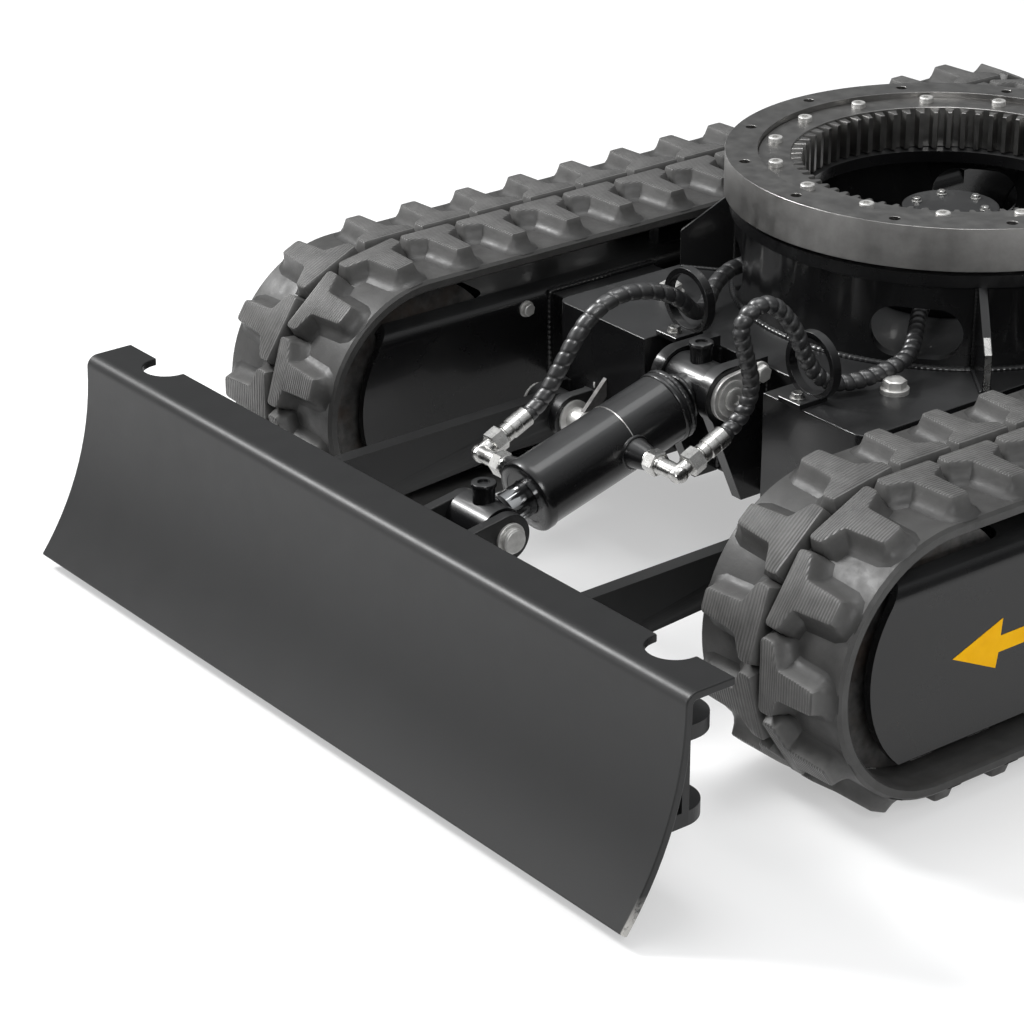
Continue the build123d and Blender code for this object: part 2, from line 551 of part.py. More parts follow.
# Slew pedestal: a drum with oval windows, gussets and a flange
with BuildPart() as pedestal:
    with BuildSketch(Plane.XY.offset(CENTRE_TOP)):
        with Locations((0, SLEW_Y)):
            Circle(DRUM_R)
            Circle(DRUM_R - DRUM_WALL, mode=Mode.SUBTRACT)
    extrude(amount=PEDESTAL_TOP - CENTRE_TOP)
    with BuildSketch(Plane.XY.offset(PEDESTAL_TOP - FLANGE_PLATE)):
        with Locations((0, SLEW_Y)):
            Circle(FLANGE_R)
            Circle(FLANGE_BORE_R, mode=Mode.SUBTRACT)
    extrude(amount=FLANGE_PLATE)
    for angle in (GUSSET_ANGLE, 180 - GUSSET_ANGLE, 180 + GUSSET_ANGLE, -GUSSET_ANGLE):
        outward = Vector(math.sin(math.radians(angle)), -math.cos(math.radians(angle)), 0)
        face = Plane(origin=(0, SLEW_Y, CENTRE_TOP), x_dir=outward, z_dir=outward.cross(Vector(0, 0, 1)))
        with BuildSketch(face):
            with BuildLine():
                Polyline((DRUM_R - DRUM_WALL / 2, 0), (GUSSET_R, 0), (GUSSET_R, GUSSET_TOE),
                         (FLANGE_R, PEDESTAL_TOP - CENTRE_TOP - FLANGE_PLATE),
                         (DRUM_R - DRUM_WALL / 2, PEDESTAL_TOP - CENTRE_TOP - FLANGE_PLATE), close=True)
            make_face()
        extrude(amount=GUSSET_PLATE / 2, both=True)
    for angle in (WINDOW_ANGLE, 180 - WINDOW_ANGLE, 180 + WINDOW_ANGLE, -WINDOW_ANGLE):
        outward = Vector(math.sin(math.radians(angle)), -math.cos(math.radians(angle)), 0)
        across = Vector(0, 0, 1).cross(outward)
        face = Plane(origin=(0, SLEW_Y, WINDOW_Z), x_dir=across, z_dir=outward).offset(DRUM_R / 2)
        with BuildSketch(face):
            SlotOverall(WINDOW_WIDTH, WINDOW_HEIGHT)
        extrude(amount=DRUM_R, mode=Mode.SUBTRACT)
save(pedestal.part, "pedestal")

# Slew ring: the inner ring is fixed, the outer ring turns
OUTER_RING_BASE = PEDESTAL_TOP + OUTER_RING_LIFT
with BuildPart() as slew_ring_inner:
    with BuildSketch(Plane.XY.offset(PEDESTAL_TOP)):
        with Locations((0, SLEW_Y)):
            Circle(RACE_R)
            Circle(INNER_RING_R, mode=Mode.SUBTRACT)
    extrude(amount=INNER_RING_HEIGHT)
save(slew_ring_inner.part, "slew_ring_inner")
with BuildPart() as slew_ring_outer:
    with BuildSketch(Plane.XY.offset(OUTER_RING_BASE)):
        with Locations((0, SLEW_Y)):
            Circle(OUTER_RING_R)
            Circle(RACE_R + RACE_GAP, mode=Mode.SUBTRACT)
            with PolarLocations(RACE_R + RING_BOLT_INSET, RING_BOLT_COUNT):
                Circle(RING_BOLT_R, mode=Mode.SUBTRACT)
    extrude(amount=OUTER_RING_HEIGHT)
save(slew_ring_outer.part, "slew_ring_outer")

# Swivel joint inside the drum
with BuildPart() as swivel_joint:
    with BuildSketch(Plane.XY.offset(CENTRE_TOP)):
        with Locations((0, SLEW_Y)):
            Circle(SWIVEL_R)
    extrude(amount=SWIVEL_HEIGHT)
    with BuildSketch(Plane.XY.offset(CENTRE_TOP)):
        with Locations((0, SLEW_Y)):
            Circle(SWIVEL_FOOT_R)
    extrude(amount=SWIVEL_FOOT)
save(swivel_joint.part, "swivel_joint")

# Moldboard: a rolled face under a folded flange, notched near its ends
FACE_TOP = FLANGE_Z - BLADE_BEND
FACE_DROP = FACE_TOP - GROUND_GAP
FACE_R = (FACE_DROP ** 2 + BLADE_RAKE ** 2) / (2 * BLADE_RAKE)
FACE_TURN = math.asin(FACE_DROP / FACE_R)
FACE_CENTRE_Y = BEND_Y - FACE_R


def face_point(radius, share):
    """A point on the rolled face, share 0 at its top and 1 at the cutting edge."""
    turn = FACE_TURN * share
    return (FACE_CENTRE_Y + radius * math.cos(turn), FACE_TOP - radius * math.sin(turn))


BACK_R = FACE_R + BLADE_PLATE
with BuildPart() as moldboard:
    with BuildSketch(Plane.YZ.offset(-HALF_BLADE)):
        with BuildLine():
            ThreePointArc(face_point(FACE_R, 1), face_point(FACE_R, 0.5), face_point(FACE_R, 0))
            RadiusArc((BEND_Y, FACE_TOP), (BEND_Y + BLADE_BEND, FLANGE_Z), BLADE_BEND)
            Polyline((BEND_Y + BLADE_BEND, FLANGE_Z), (BEND_Y + BLADE_FLANGE, FLANGE_Z),
                     (BEND_Y + BLADE_FLANGE, FLANGE_Z - BLADE_PLATE),
                     (BEND_Y + BLADE_BEND, FLANGE_Z - BLADE_PLATE))
            RadiusArc((BEND_Y + BLADE_BEND, FLANGE_Z - BLADE_PLATE), (BEND_Y + BLADE_PLATE, FACE_TOP),
                      BLADE_PLATE - BLADE_BEND)
            ThreePointArc(face_point(BACK_R, 0), face_point(BACK_R, 0.5), face_point(BACK_R, 1))
            Line(face_point(BACK_R, 1), face_point(FACE_R, 1))
        make_face()
    extrude(amount=2 * HALF_BLADE)
    with BuildSketch(Plane.XY.offset(FLANGE_Z)):
        with Locations((NOTCH_X, BEND_Y + BLADE_FLANGE), (-NOTCH_X, BEND_Y + BLADE_FLANGE)):
            Rectangle(2 * NOTCH_R, 2 * (NOTCH_DEPTH - NOTCH_R))
            with Locations((0, NOTCH_R - NOTCH_DEPTH)):
                Circle(NOTCH_R)
    extrude(amount=-2 * BLADE_PLATE, mode=Mode.SUBTRACT)
save(moldboard.part, "moldboard")

# Stiffener on the moldboard's back: two ribs with rounded ends and a web between them
RIB_HALF = HALF_BLADE - RIB_END_INSET
with BuildPart() as blade_stiffener:
    for top, reach in ((UPPER_RIB_TOP, UPPER_RIB_REACH), (LOWER_RIB_TOP, LOWER_RIB_REACH)):
        with BuildSketch(Plane.XY.offset(top)) as rib:
            with Locations((0, BEND_Y + reach)):
                Rectangle(2 * RIB_HALF, reach + BLADE_RAKE, align=(Align.CENTER, Align.MAX))
            fillet(rib.vertices().group_by(Axis.Y)[-1], RIB_CORNER)
        extrude(amount=-RIB_PLATE)
    block((-RIB_HALF, RIB_HALF), (BEND_Y + WEB_START, WEB_REAR_Y), (LOWER_RIB_TOP, UPPER_RIB_TOP - RIB_PLATE))
    bar(-HALF_BLADE, HALF_BLADE, FACE_CENTRE_Y, FACE_TOP, BACK_R, Mode.SUBTRACT)
save(blade_stiffener.part, "blade_stiffener")

# Push arms, from the web back to the pivots
with BuildPart() as push_arm:
    with BuildSketch(Plane.YZ.offset(ARM_X - ARM_PLATE / 2)):
        with BuildLine():
            Polyline((WEB_REAR_Y, UPPER_RIB_TOP - RIB_PLATE),
                     (BEND_Y + UPPER_RIB_REACH, UPPER_RIB_TOP - RIB_PLATE),
                     (PIVOT_Y, PIVOT_Z + ARM_BOSS_R), (PIVOT_Y, PIVOT_Z - ARM_BOSS_R),
                     (BEND_Y + LOWER_RIB_REACH, LOWER_RIB_TOP), (WEB_REAR_Y, LOWER_RIB_TOP), close=True)
        make_face()
    extrude(amount=ARM_PLATE)
    bar(ARM_X - ARM_BOSS_WIDTH / 2, ARM_X + ARM_BOSS_WIDTH / 2, PIVOT_Y, PIVOT_Z, ARM_BOSS_R)
    bar(ARM_X - ARM_BOSS_WIDTH / 2, ARM_X + ARM_BOSS_WIDTH / 2, PIVOT_Y, PIVOT_Z, PIVOT_PIN_R + PIN_GAP,
        Mode.SUBTRACT)
save_pair(push_arm.part, "push_arm")

# Clevis and pin for the rod's eye
with BuildPart() as blade_clevis:
    for start in (EYE_X, -EYE_X - CLEVIS_PLATE):
        with BuildSketch(Plane.YZ.offset(start)):
            with BuildLine():
                Polyline((WEB_REAR_Y, UPPER_RIB_TOP - RIB_PLATE),
                         (BEND_Y + UPPER_RIB_REACH, UPPER_RIB_TOP - RIB_PLATE),
                         (BLADE_PIN_Y, BLADE_PIN_Z + CLEVIS_R), (BLADE_PIN_Y, BLADE_PIN_Z - CLEVIS_R),
                         (BEND_Y + LOWER_RIB_REACH, LOWER_RIB_TOP), (WEB_REAR_Y, LOWER_RIB_TOP), close=True)
            make_face()
            with Locations((BLADE_PIN_Y, BLADE_PIN_Z)):
                Circle(CLEVIS_R)
                Circle(BLADE_PIN_R, mode=Mode.SUBTRACT)
        extrude(amount=CLEVIS_PLATE)
save(blade_clevis.part, "blade_clevis")
with BuildPart() as blade_pin:
    reach = EYE_X + CLEVIS_PLATE + PIN_END
    bar(-reach, reach, BLADE_PIN_Y, BLADE_PIN_Z, BLADE_PIN_R)
save(blade_pin.part, "blade_pin")



def upright_tube(y, z):
    """The grease tube on a pin's eye."""
    with Locations((0, y, z)):
        Cylinder(EYE_TUBE_R, EYE_TUBE_TOP, align=(Align.CENTER, Align.CENTER, Align.MIN))
        Cylinder(EYE_TUBE_BORE_R, EYE_TUBE_TOP, align=(Align.CENTER, Align.CENTER, Align.MIN),
                 mode=Mode.SUBTRACT)


# Blade cylinder: barrel with the frame end's eye, gland, and rod with the blade end's eye
with BuildPart() as cylinder_barrel:
    with BuildSketch(CYLINDER.offset(BARREL_START)):
        Circle(BARREL_R)
    extrude(amount=BARREL_END - BARREL_START)
    with BuildSketch(CYLINDER):
        Circle(EYE_NECK_R)
    extrude(amount=BARREL_START)
    bar(-EYE_WIDTH / 2, EYE_WIDTH / 2, FRAME_PIN_Y, FRAME_PIN_Z, EYE_R)
    upright_tube(FRAME_PIN_Y, FRAME_PIN_Z)
    with BuildSketch(CYLINDER.offset(BARREL_START + BARREL_CAP)):
        Circle(BARREL_BORE_R)
    extrude(amount=BARREL_END - BARREL_START, mode=Mode.SUBTRACT)
    bar(-EYE_WIDTH / 2, EYE_WIDTH / 2, FRAME_PIN_Y, FRAME_PIN_Z, FRAME_PIN_R + PIN_GAP, Mode.SUBTRACT)
save(cylinder_barrel.part, "cylinder_barrel")

with BuildPart() as cylinder_gland:
    with BuildSketch(CYLINDER.offset(BARREL_END - GLAND_LENGTH)):
        Circle(BARREL_BORE_R)
        Circle(ROD_R + PIN_GAP, mode=Mode.SUBTRACT)
    extrude(amount=GLAND_LENGTH)
save(cylinder_gland.part, "cylinder_gland")

with BuildPart() as cylinder_rod:
    with BuildSketch(CYLINDER.offset(ROD_START)):
        Circle(ROD_R)
    extrude(amount=CYLINDER_LENGTH - ROD_START)
    bar(-EYE_WIDTH / 2, EYE_WIDTH / 2, BLADE_PIN_Y, BLADE_PIN_Z, EYE_R)
    upright_tube(BLADE_PIN_Y, BLADE_PIN_Z)
    bar(-EYE_WIDTH / 2, EYE_WIDTH / 2, BLADE_PIN_Y, BLADE_PIN_Z, BLADE_PIN_R + ROD_EYE_GAP, Mode.SUBTRACT)
save(cylinder_rod.part, "cylinder_rod")

# Port fittings on the barrel: an elbow each side, and the ferrule its hose comes out of
RISE = Vector(0, math.cos(math.radians(FERRULE_RISE)), math.sin(math.radians(FERRULE_RISE)))


def elbow_corner(port, side):
    """The corner of a port's elbow."""
    foot = CYLINDER.origin + CYLINDER_DIRECTION * port
    return foot + Vector(side * (BARREL_R + ELBOW_REACH), 0, 0)


with BuildPart() as cylinder_fittings:
    for port, side in ((LEFT_PORT, 1), (RIGHT_PORT, -1)):
        corner = elbow_corner(port, side)
        foot = corner - Vector(side * (BARREL_R + ELBOW_REACH), 0, 0)
        wall = Plane(origin=foot, x_dir=(0, 0, 1), z_dir=(side, 0, 0))
        with Locations(wall.offset(BARREL_BORE_R)):
            Cone(PORT_ROOT_R, PORT_R, BARREL_R + PORT_LENGTH - BARREL_BORE_R,
                 align=(Align.CENTER, Align.CENTER, Align.MIN))
        with BuildSketch(wall):
            Circle(TUBE_R)
        extrude(amount=BARREL_R + ELBOW_REACH)
        with BuildSketch(wall.offset(BARREL_R + PORT_LENGTH)):
            RegularPolygon(NUT_R, 6)
        extrude(amount=NUT_LENGTH)
        with Locations(corner):
            Sphere(TUBE_R)
        leg = Plane(origin=corner, x_dir=(1, 0, 0), z_dir=RISE)
        with BuildSketch(leg):
            Circle(TUBE_R)
        extrude(amount=FERRULE_START)
        with BuildSketch(leg.offset(FERRULE_START)):
            Circle(FERRULE_R)
        extrude(amount=FERRULE_END - FERRULE_START)
        with BuildSketch(leg.offset(FERRULE_START - NUT_LENGTH / 2)):
            RegularPolygon(NUT_R, 6)
        extrude(amount=NUT_LENGTH)
    with BuildSketch(CYLINDER):
        Circle(BARREL_R)
    extrude(amount=CYLINDER_LENGTH, mode=Mode.SUBTRACT)
save(cylinder_fittings.part, "cylinder_fittings")

# Hose guide rings, standing on the centre frame's top
for name, (guide_x, guide_y, guide_z) in (("hose_guide_left", LEFT_GUIDE), ("hose_guide_right", RIGHT_GUIDE)):
    with BuildPart() as hose_guide:
        with BuildSketch(Plane.XZ.offset(-SLEW_Y - guide_y)):
            with Locations((guide_x, guide_z)):
                Circle(GUIDE_R)
            with Locations((guide_x, CENTRE_TOP)):
                Rectangle(GUIDE_FOOT, guide_z - CENTRE_TOP, align=(Align.CENTER, Align.MIN))
            with Locations((guide_x, guide_z)):
                Circle(GUIDE_R - GUIDE_BAR, mode=Mode.SUBTRACT)
        extrude(amount=GUIDE_DEPTH / 2, both=True)
    save(hose_guide.part, name)

# Hoses: from each ferrule, up and over, through the guide ring and a window to the swivel joint
LEFT_ROUTE = ((106, -361, 268), (108, -377, 312), (110, -386, 342), (114, -356, 360), (120, -326, 330),
              (125, -312, 288), (131, -295, 265), (141, -267, 260), (150, -235, 266), (150, -201, 272),
              (128, -171, 280), (94, -133, 288), (62, -81, 291))
RIGHT_ROUTE = ((-90, -435, 252), (-83, -411, 293), (-78, -379, 311), (-73, -341, 309), (-70, -305, 294),
               (-76, -277, 266), (-95, -245, 262), (-122, -211, 272), (-130, -173, 281), (-94, -133, 288),
               (-62, -81, 291))


def bend_radii(points):
    """A radius for each bend of a hose, from the shorter run beside it."""
    radii = []
    for before, corner, after in zip(points, points[1:], points[2:]):
        half_turn = math.radians((corner - before).get_angle(after - corner)) / 2
        shorter = min((corner - before).length, (after - corner).length)
        radii.append(BEND_SHARE * shorter / math.tan(half_turn))
    return radii


HOSE_ROUTES = (("hose_left", LEFT_PORT, LEFT_ROUTE, 1), ("hose_right", RIGHT_PORT, RIGHT_ROUTE, -1))
for name, port, route, side in HOSE_ROUTES:
    start = elbow_corner(port, side) + RISE * FERRULE_END
    across = SWIVEL_R * math.sin(math.radians(SWIVEL_PORT_ANGLE))
    ahead = SWIVEL_R * math.cos(math.radians(SWIVEL_PORT_ANGLE))
    points = [start, start + RISE * HOSE_START]
    points += [Vector(x, SLEW_Y + y, z) for x, y, z in route]
    points += [Vector(side * across, SLEW_Y - ahead, SWIVEL_PORT_Z)]
    with BuildPart() as hose:
        with BuildLine() as path:
            FilletPolyline(*points, radius=bend_radii(points))
        with BuildSketch(Plane(origin=path.line @ 0, z_dir=path.line % 0)):
            Circle(HOSE_R)
        sweep(path=path.line)
        with Locations((0, SLEW_Y, CENTRE_TOP)):
            Cylinder(SWIVEL_R, SWIVEL_HEIGHT, align=(Align.CENTER, Align.CENTER, Align.MIN),
                     mode=Mode.SUBTRACT)
    save(hose.part, name)
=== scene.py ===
"""Looks of the mini excavator's tracked undercarriage and dozer blade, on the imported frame."""

import math

import bmesh
import bpy
from mathutils import Matrix, Vector


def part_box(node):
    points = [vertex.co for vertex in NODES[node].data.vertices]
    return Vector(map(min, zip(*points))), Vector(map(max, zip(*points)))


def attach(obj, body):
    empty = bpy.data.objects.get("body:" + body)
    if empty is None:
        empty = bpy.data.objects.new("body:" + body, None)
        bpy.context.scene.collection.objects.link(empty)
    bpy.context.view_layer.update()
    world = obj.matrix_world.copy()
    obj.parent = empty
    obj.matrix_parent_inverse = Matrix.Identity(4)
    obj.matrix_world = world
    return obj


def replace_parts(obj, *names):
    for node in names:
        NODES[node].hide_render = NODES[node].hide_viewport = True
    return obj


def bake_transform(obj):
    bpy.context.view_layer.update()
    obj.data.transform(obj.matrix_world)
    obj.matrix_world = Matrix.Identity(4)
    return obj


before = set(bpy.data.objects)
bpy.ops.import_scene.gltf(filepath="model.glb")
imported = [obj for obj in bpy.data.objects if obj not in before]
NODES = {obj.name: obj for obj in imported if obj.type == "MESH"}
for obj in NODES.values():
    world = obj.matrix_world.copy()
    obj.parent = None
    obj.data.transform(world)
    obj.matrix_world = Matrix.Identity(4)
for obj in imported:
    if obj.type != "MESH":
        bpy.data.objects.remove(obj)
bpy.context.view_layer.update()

MM = 0.001


def middle_of(node):
    """The middle of a CAD node's box, in millimetres."""
    low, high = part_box(node)
    return (low + high) / 2 / MM


def flat_spoke(degrees):
    """A direction in plan, turned from +X towards +Y."""
    angle = math.radians(degrees)
    return Vector((math.cos(angle), math.sin(angle), 0))


def side_spoke(degrees):
    """A direction in side view, turned from +Y upwards."""
    angle = math.radians(degrees)
    return Vector((0, math.cos(angle), math.sin(angle)))


# Places read from the frame or repeated from the part's source, in millimetres
PITCH = 72.0
LINKS = 36
TEETH = 11
WHEELBASE = (LINKS - TEETH) * PITCH / 2
PITCH_R = TEETH * PITCH / (2 * math.pi)
CORE_DEPTH = 8.0           # pitch line to the inside of the belt
BELT_THICKNESS = 13.0
LUG_HEIGHT = 19.0
INNER_R = PITCH_R - CORE_DEPTH
BELT_R = INNER_R + BELT_THICKNESS
AXLE_Z = BELT_R + LUG_HEIGHT
SLEW_Y = middle_of("slew_ring_outer").y
IDLER_Y = SLEW_Y - WHEELBASE / 2
SPROCKET_Y = SLEW_Y + WHEELBASE / 2
TRACK_X = middle_of("track_left").x
FRAME_X = 70.0             # half the width of a track frame
FRAME_PIN = Vector((0, SLEW_Y - 335.0, 231.0))
BLADE_PIN = middle_of("blade_pin")
CYLINDER_LENGTH = (BLADE_PIN - FRAME_PIN).length
CYLINDER_AXIS = (BLADE_PIN - FRAME_PIN).normalized()
LEFT_PORT = 116.0          # along the cylinder from the frame pin
RIGHT_PORT = 203.0
PORTS = ((LEFT_PORT, 1), (RIGHT_PORT, -1))
ELBOW_REACH = 98.0         # cylinder's axis to the elbow's corner
FERRULE_END = 62.0         # elbow's corner to the ferrule's end
RISE = side_spoke(24)      # the way the ferrules point
ARM_X = 192.0
PIVOT_Y = SLEW_Y - 360.0
PIVOT_Z = 146.0
BEND_Y = SLEW_Y - 753.0    # upper bend of the blade
DECK_Z = 250.0
DRUM_R = 220.0
DRUM_TOP_Z = 338.0
SWIVEL_PORT_Z = 292.0
GUSSET_ANGLE = 53.0        # from straight ahead
UP = Vector((0, 0, 1))


# Materials
class Paint:
    """A procedural material and the few nodes it is made of."""

    def __init__(self, name, **values):
        self.material = bpy.data.materials.new(name)
        self.material.use_nodes = True
        self.tree = self.material.node_tree
        self.shader = self.tree.nodes["Principled BSDF"]
        self.place = self.node("ShaderNodeTexCoord").outputs["Object"]
        for socket, value in values.items():
            self.shader.inputs[socket.replace("_", " ")].default_value = value

    def node(self, kind, **inputs):
        made = self.tree.nodes.new(kind)
        for socket, value in inputs.items():
            self.feed(made.inputs[socket.replace("_", " ")], value)
        return made

    def feed(self, socket, value):
        if isinstance(value, bpy.types.NodeSocket):
            self.tree.links.new(value, socket)
        else:
            socket.default_value = value

    def noise(self, scale, detail=4.0, roughness=0.55, stretch=None):
        place = self.place
        if stretch:
            mapping = self.node("ShaderNodeMapping", Vector=place, Scale=stretch)
            place = mapping.outputs["Vector"]
        made = self.node("ShaderNodeTexNoise", Vector=place, Scale=scale, Detail=detail,
                         Roughness=roughness)
        return made.outputs["Fac"]

    def wave(self, scale, kind="BANDS", direction="Y", distortion=0.0, origin=(0, 0, 0)):
        moved = self.node("ShaderNodeMapping", Vector=self.place, Location=[-v * MM for v in origin])
        made = self.node("ShaderNodeTexWave", Vector=moved.outputs["Vector"], Scale=scale,
                         Distortion=distortion)
        made.wave_type = kind
        if kind == "BANDS":
            made.bands_direction = direction
        else:
            made.rings_direction = direction
        return made.outputs["Fac"]

    def ramp(self, value, *stops):
        made = self.node("ShaderNodeValToRGB", Fac=value)
        line = made.color_ramp.elements
        while len(line) < len(stops):
            line.new(0.5)
        for element, (position, colour) in zip(line, stops):
            element.position = position
            element.color = (*colour, 1) if isinstance(colour, tuple) else (colour, colour, colour, 1)
        return made.outputs["Color"]

    def math(self, operation, first, second=0.0):
        made = self.tree.nodes.new("ShaderNodeMath")
        made.operation = operation
        made.use_clamp = True
        self.feed(made.inputs[0], first)
        self.feed(made.inputs[1], second)
        return made.outputs[0]

    def mix(self, share, first, second):
        made = self.tree.nodes.new("ShaderNodeMix")
        made.data_type = "RGBA"
        self.feed(made.inputs[0], share)
        self.feed(made.inputs[6], (*first, 1) if isinstance(first, tuple) else first)
        self.feed(made.inputs[7], (*second, 1) if isinstance(second, tuple) else second)
        return made.outputs[2]

    def facing_up(self, low=0.55, high=0.95):
        normal = self.node("ShaderNodeNewGeometry").outputs["Normal"]
        up = self.node("ShaderNodeSeparateXYZ", Vector=normal).outputs["Z"]
        made = self.node("ShaderNodeMapRange", Value=up)
        made.inputs["From Min"].default_value = low
        made.inputs["From Max"].default_value = high
        return made.outputs["Result"]

    def reach(self, axis, low, high):
        """A share that grows from 0 to 1 between two places along an axis, in millimetres."""
        along = self.node("ShaderNodeSeparateXYZ", Vector=self.place).outputs[axis]
        made = self.node("ShaderNodeMapRange", Value=along)
        made.inputs["From Min"].default_value = low * MM
        made.inputs["From Max"].default_value = high * MM
        return made.outputs["Result"]

    def attribute(self, name):
        made = self.tree.nodes.new("ShaderNodeAttribute")
        made.attribute_name = name
        return made.outputs["Fac"]

    def colour(self, value):
        self.feed(self.shader.inputs["Base Color"], value)

    def rough(self, value):
        self.feed(self.shader.inputs["Roughness"], value)

    def bump(self, *layers):
        """Each layer is a height, its strength and its depth in millimetres."""
        normal = None
        for height, strength, depth in layers:
            made = self.node("ShaderNodeBump", Strength=strength, Distance=depth * MM, Height=height)
            if normal:
                self.feed(made.inputs["Normal"], normal)
            normal = made.outputs["Normal"]
        self.feed(self.shader.inputs["Normal"], normal)


def frame_paint():
    paint = Paint("frame_paint", IOR=1.5, Specular_IOR_Level=0.34, Coat_Weight=0.20, Coat_Roughness=0.09)
    # Upward-facing surfaces are lighter and rougher: partly settled dust, partly a painted reflection of the
    # bright sky on the tops
    dust_and_sheen = paint.ramp(paint.noise(7, 8, 0.62), (0.35, 0.35), (0.75, 1.0))
    dust_and_sheen = paint.math("MULTIPLY", dust_and_sheen, paint.facing_up())
    black = paint.ramp(paint.noise(3.5, 5), (0.3, (0.0035, 0.0035, 0.0038)),
                       (0.8, (0.0070, 0.0070, 0.0074)))
    paint.colour(paint.mix(dust_and_sheen, black, (0.026, 0.0265, 0.027)))
    clean = paint.ramp(paint.noise(14, 6), (0.3, 0.20), (0.8, 0.34))
    paint.rough(paint.mix(dust_and_sheen, clean, (0.55, 0.55, 0.55)))
    paint.bump((paint.noise(260, 2), 0.10, 0.5), (paint.noise(28, 3), 0.08, 1.0))
    return paint.material


def blade_paint():
    paint = Paint("blade_paint", IOR=1.5, Specular_IOR_Level=0.36)
    base = paint.ramp(paint.noise(5, 7, 0.6), (0.3, (0.0095, 0.0096, 0.0098)),
                      (0.75, (0.0120, 0.0121, 0.0123)))
    scrape = paint.math("MULTIPLY", paint.reach("Z", 44, 22), paint.reach("X", 462.5, 464.5))
    scrape = paint.math("MULTIPLY", scrape, paint.ramp(paint.noise(60, 6, 0.7), (0.40, 0.0), (0.50, 1.0)))
    paint.colour(paint.mix(scrape, base, (0.42, 0.41, 0.39)))
    paint.rough(paint.ramp(paint.noise(40, 6), (0.3, 0.40), (0.75, 0.46)))
    paint.bump((paint.noise(420, 3), 0.14, 0.4), (paint.noise(9, 3), 0.02, 1.0))
    return paint.material


def track_rubber():
    paint = Paint("track_rubber", IOR=1.45, Specular_IOR_Level=0.45)
    # The land attribute runs from the lug tops down into the pockets: lands lighter from wear and painted
    # light, pockets darker from soil and painted shade
    land = paint.attribute("land")
    lines = paint.math("MULTIPLY", paint.wave(95, "BANDS", "X", 0.6),
                       paint.ramp(land, (0.90, 0.0), (0.99, 1.0)))
    # Colour of the pockets and belt: soil and painted shade
    soil_and_shade = paint.ramp(paint.noise(16, 8, 0.65), (0.30, (0.011, 0.0108, 0.0105)),
                      (0.75, (0.024, 0.0236, 0.0228)))
    # Colour of the lands: worn rubber, partly painted light on the tops
    wear_and_shade = paint.ramp(paint.noise(55, 6, 0.6), (0.30, (0.080, 0.0790, 0.0772)),
                      (0.75, (0.128, 0.1262, 0.1232)))
    wear_and_shade = paint.mix(paint.math("MULTIPLY", lines, 0.45), wear_and_shade, (0.036, 0.0355, 0.0345))
    paint.colour(paint.mix(land, soil_and_shade, wear_and_shade))
    paint.rough(paint.ramp(paint.noise(60, 5), (0.3, 0.36), (0.75, 0.60)))
    paint.bump((lines, 0.8, -0.8), (paint.noise(330, 5, 0.7), 0.30, 0.6),
               (paint.noise(22, 3), 0.25, 3.0))
    return paint.material


def hose_rubber():
    paint = Paint("hose_rubber", IOR=1.5, Specular_IOR_Level=0.95)
    paint.colour(paint.ramp(paint.noise(45, 6), (0.3, (0.010, 0.010, 0.011)),
                            (0.8, (0.022, 0.022, 0.022))))
    paint.rough(paint.ramp(paint.noise(80, 4), (0.3, 0.34), (0.8, 0.46)))
    paint.bump((paint.noise(500, 3), 0.10, 0.3))
    return paint.material


def zinc_steel():
    paint = Paint("zinc_steel", Metallic=1.0)
    paint.colour(paint.ramp(paint.noise(70, 6, 0.6), (0.3, (0.44, 0.435, 0.42)),
                            (0.75, (0.66, 0.655, 0.64))))
    paint.rough(paint.ramp(paint.noise(110, 5), (0.3, 0.20), (0.75, 0.36)))
    paint.bump((paint.noise(600, 3), 0.04, 0.2))
    return paint.material


def dull_zinc():
    paint = Paint("dull_zinc", Metallic=0.7)
    paint.colour(paint.ramp(paint.noise(90, 7, 0.65), (0.3, (0.42, 0.415, 0.40)),
                            (0.75, (0.64, 0.635, 0.62))))
    paint.rough(paint.ramp(paint.noise(130, 5), (0.3, 0.42), (0.75, 0.58)))
    paint.bump((paint.noise(420, 4), 0.18, 0.3))
    return paint.material


def rod_chrome():
    paint = Paint("rod_chrome", Metallic=1.0)
    # The chrome is toned darker than bright chrome: painted shade for the dark rod by the gland
    paint.colour(paint.ramp(paint.noise(20, 5), (0.3, (0.36, 0.365, 0.37)), (0.8, (0.46, 0.465, 0.47))))
    paint.rough(paint.ramp(paint.noise(140, 6, 0.7, (0.1, 1, 1)), (0.35, 0.08), (0.75, 0.18)))
    paint.bump((paint.noise(300, 4, 0.6, (1, 6, 1)), 0.04, 0.1))
    return paint.material


def ring_steel():
    paint = Paint("ring_steel", Metallic=1.0)
    turned = paint.wave(420, "RINGS", "Z", 0.8, (0, SLEW_Y, 0))
    paint.colour(paint.ramp(paint.noise(60, 7, 0.65), (0.25, (0.24, 0.235, 0.23)),
                            (0.80, (0.34, 0.335, 0.325))))
    paint.rough(paint.ramp(paint.noise(60, 5), (0.3, 0.30), (0.75, 0.40)))
    paint.bump((turned, 0.12, 0.3), (paint.noise(200, 4), 0.05, 0.4))
    return paint.material


def worn_iron():
    paint = Paint("worn_iron", Metallic=0.55)
    rust = paint.ramp(paint.noise(22, 8, 0.65), (0.48, 0.0), (0.72, 0.7))
    iron = paint.ramp(paint.noise(90, 5), (0.3, (0.045, 0.044, 0.044)), (0.8, (0.13, 0.127, 0.122)))
    paint.colour(paint.mix(rust, iron, (0.075, 0.048, 0.033)))
    paint.rough(paint.ramp(paint.noise(70, 5), (0.3, 0.42), (0.8, 0.72)))
    paint.bump((paint.noise(180, 6, 0.7), 0.35, 0.8))
    return paint.material


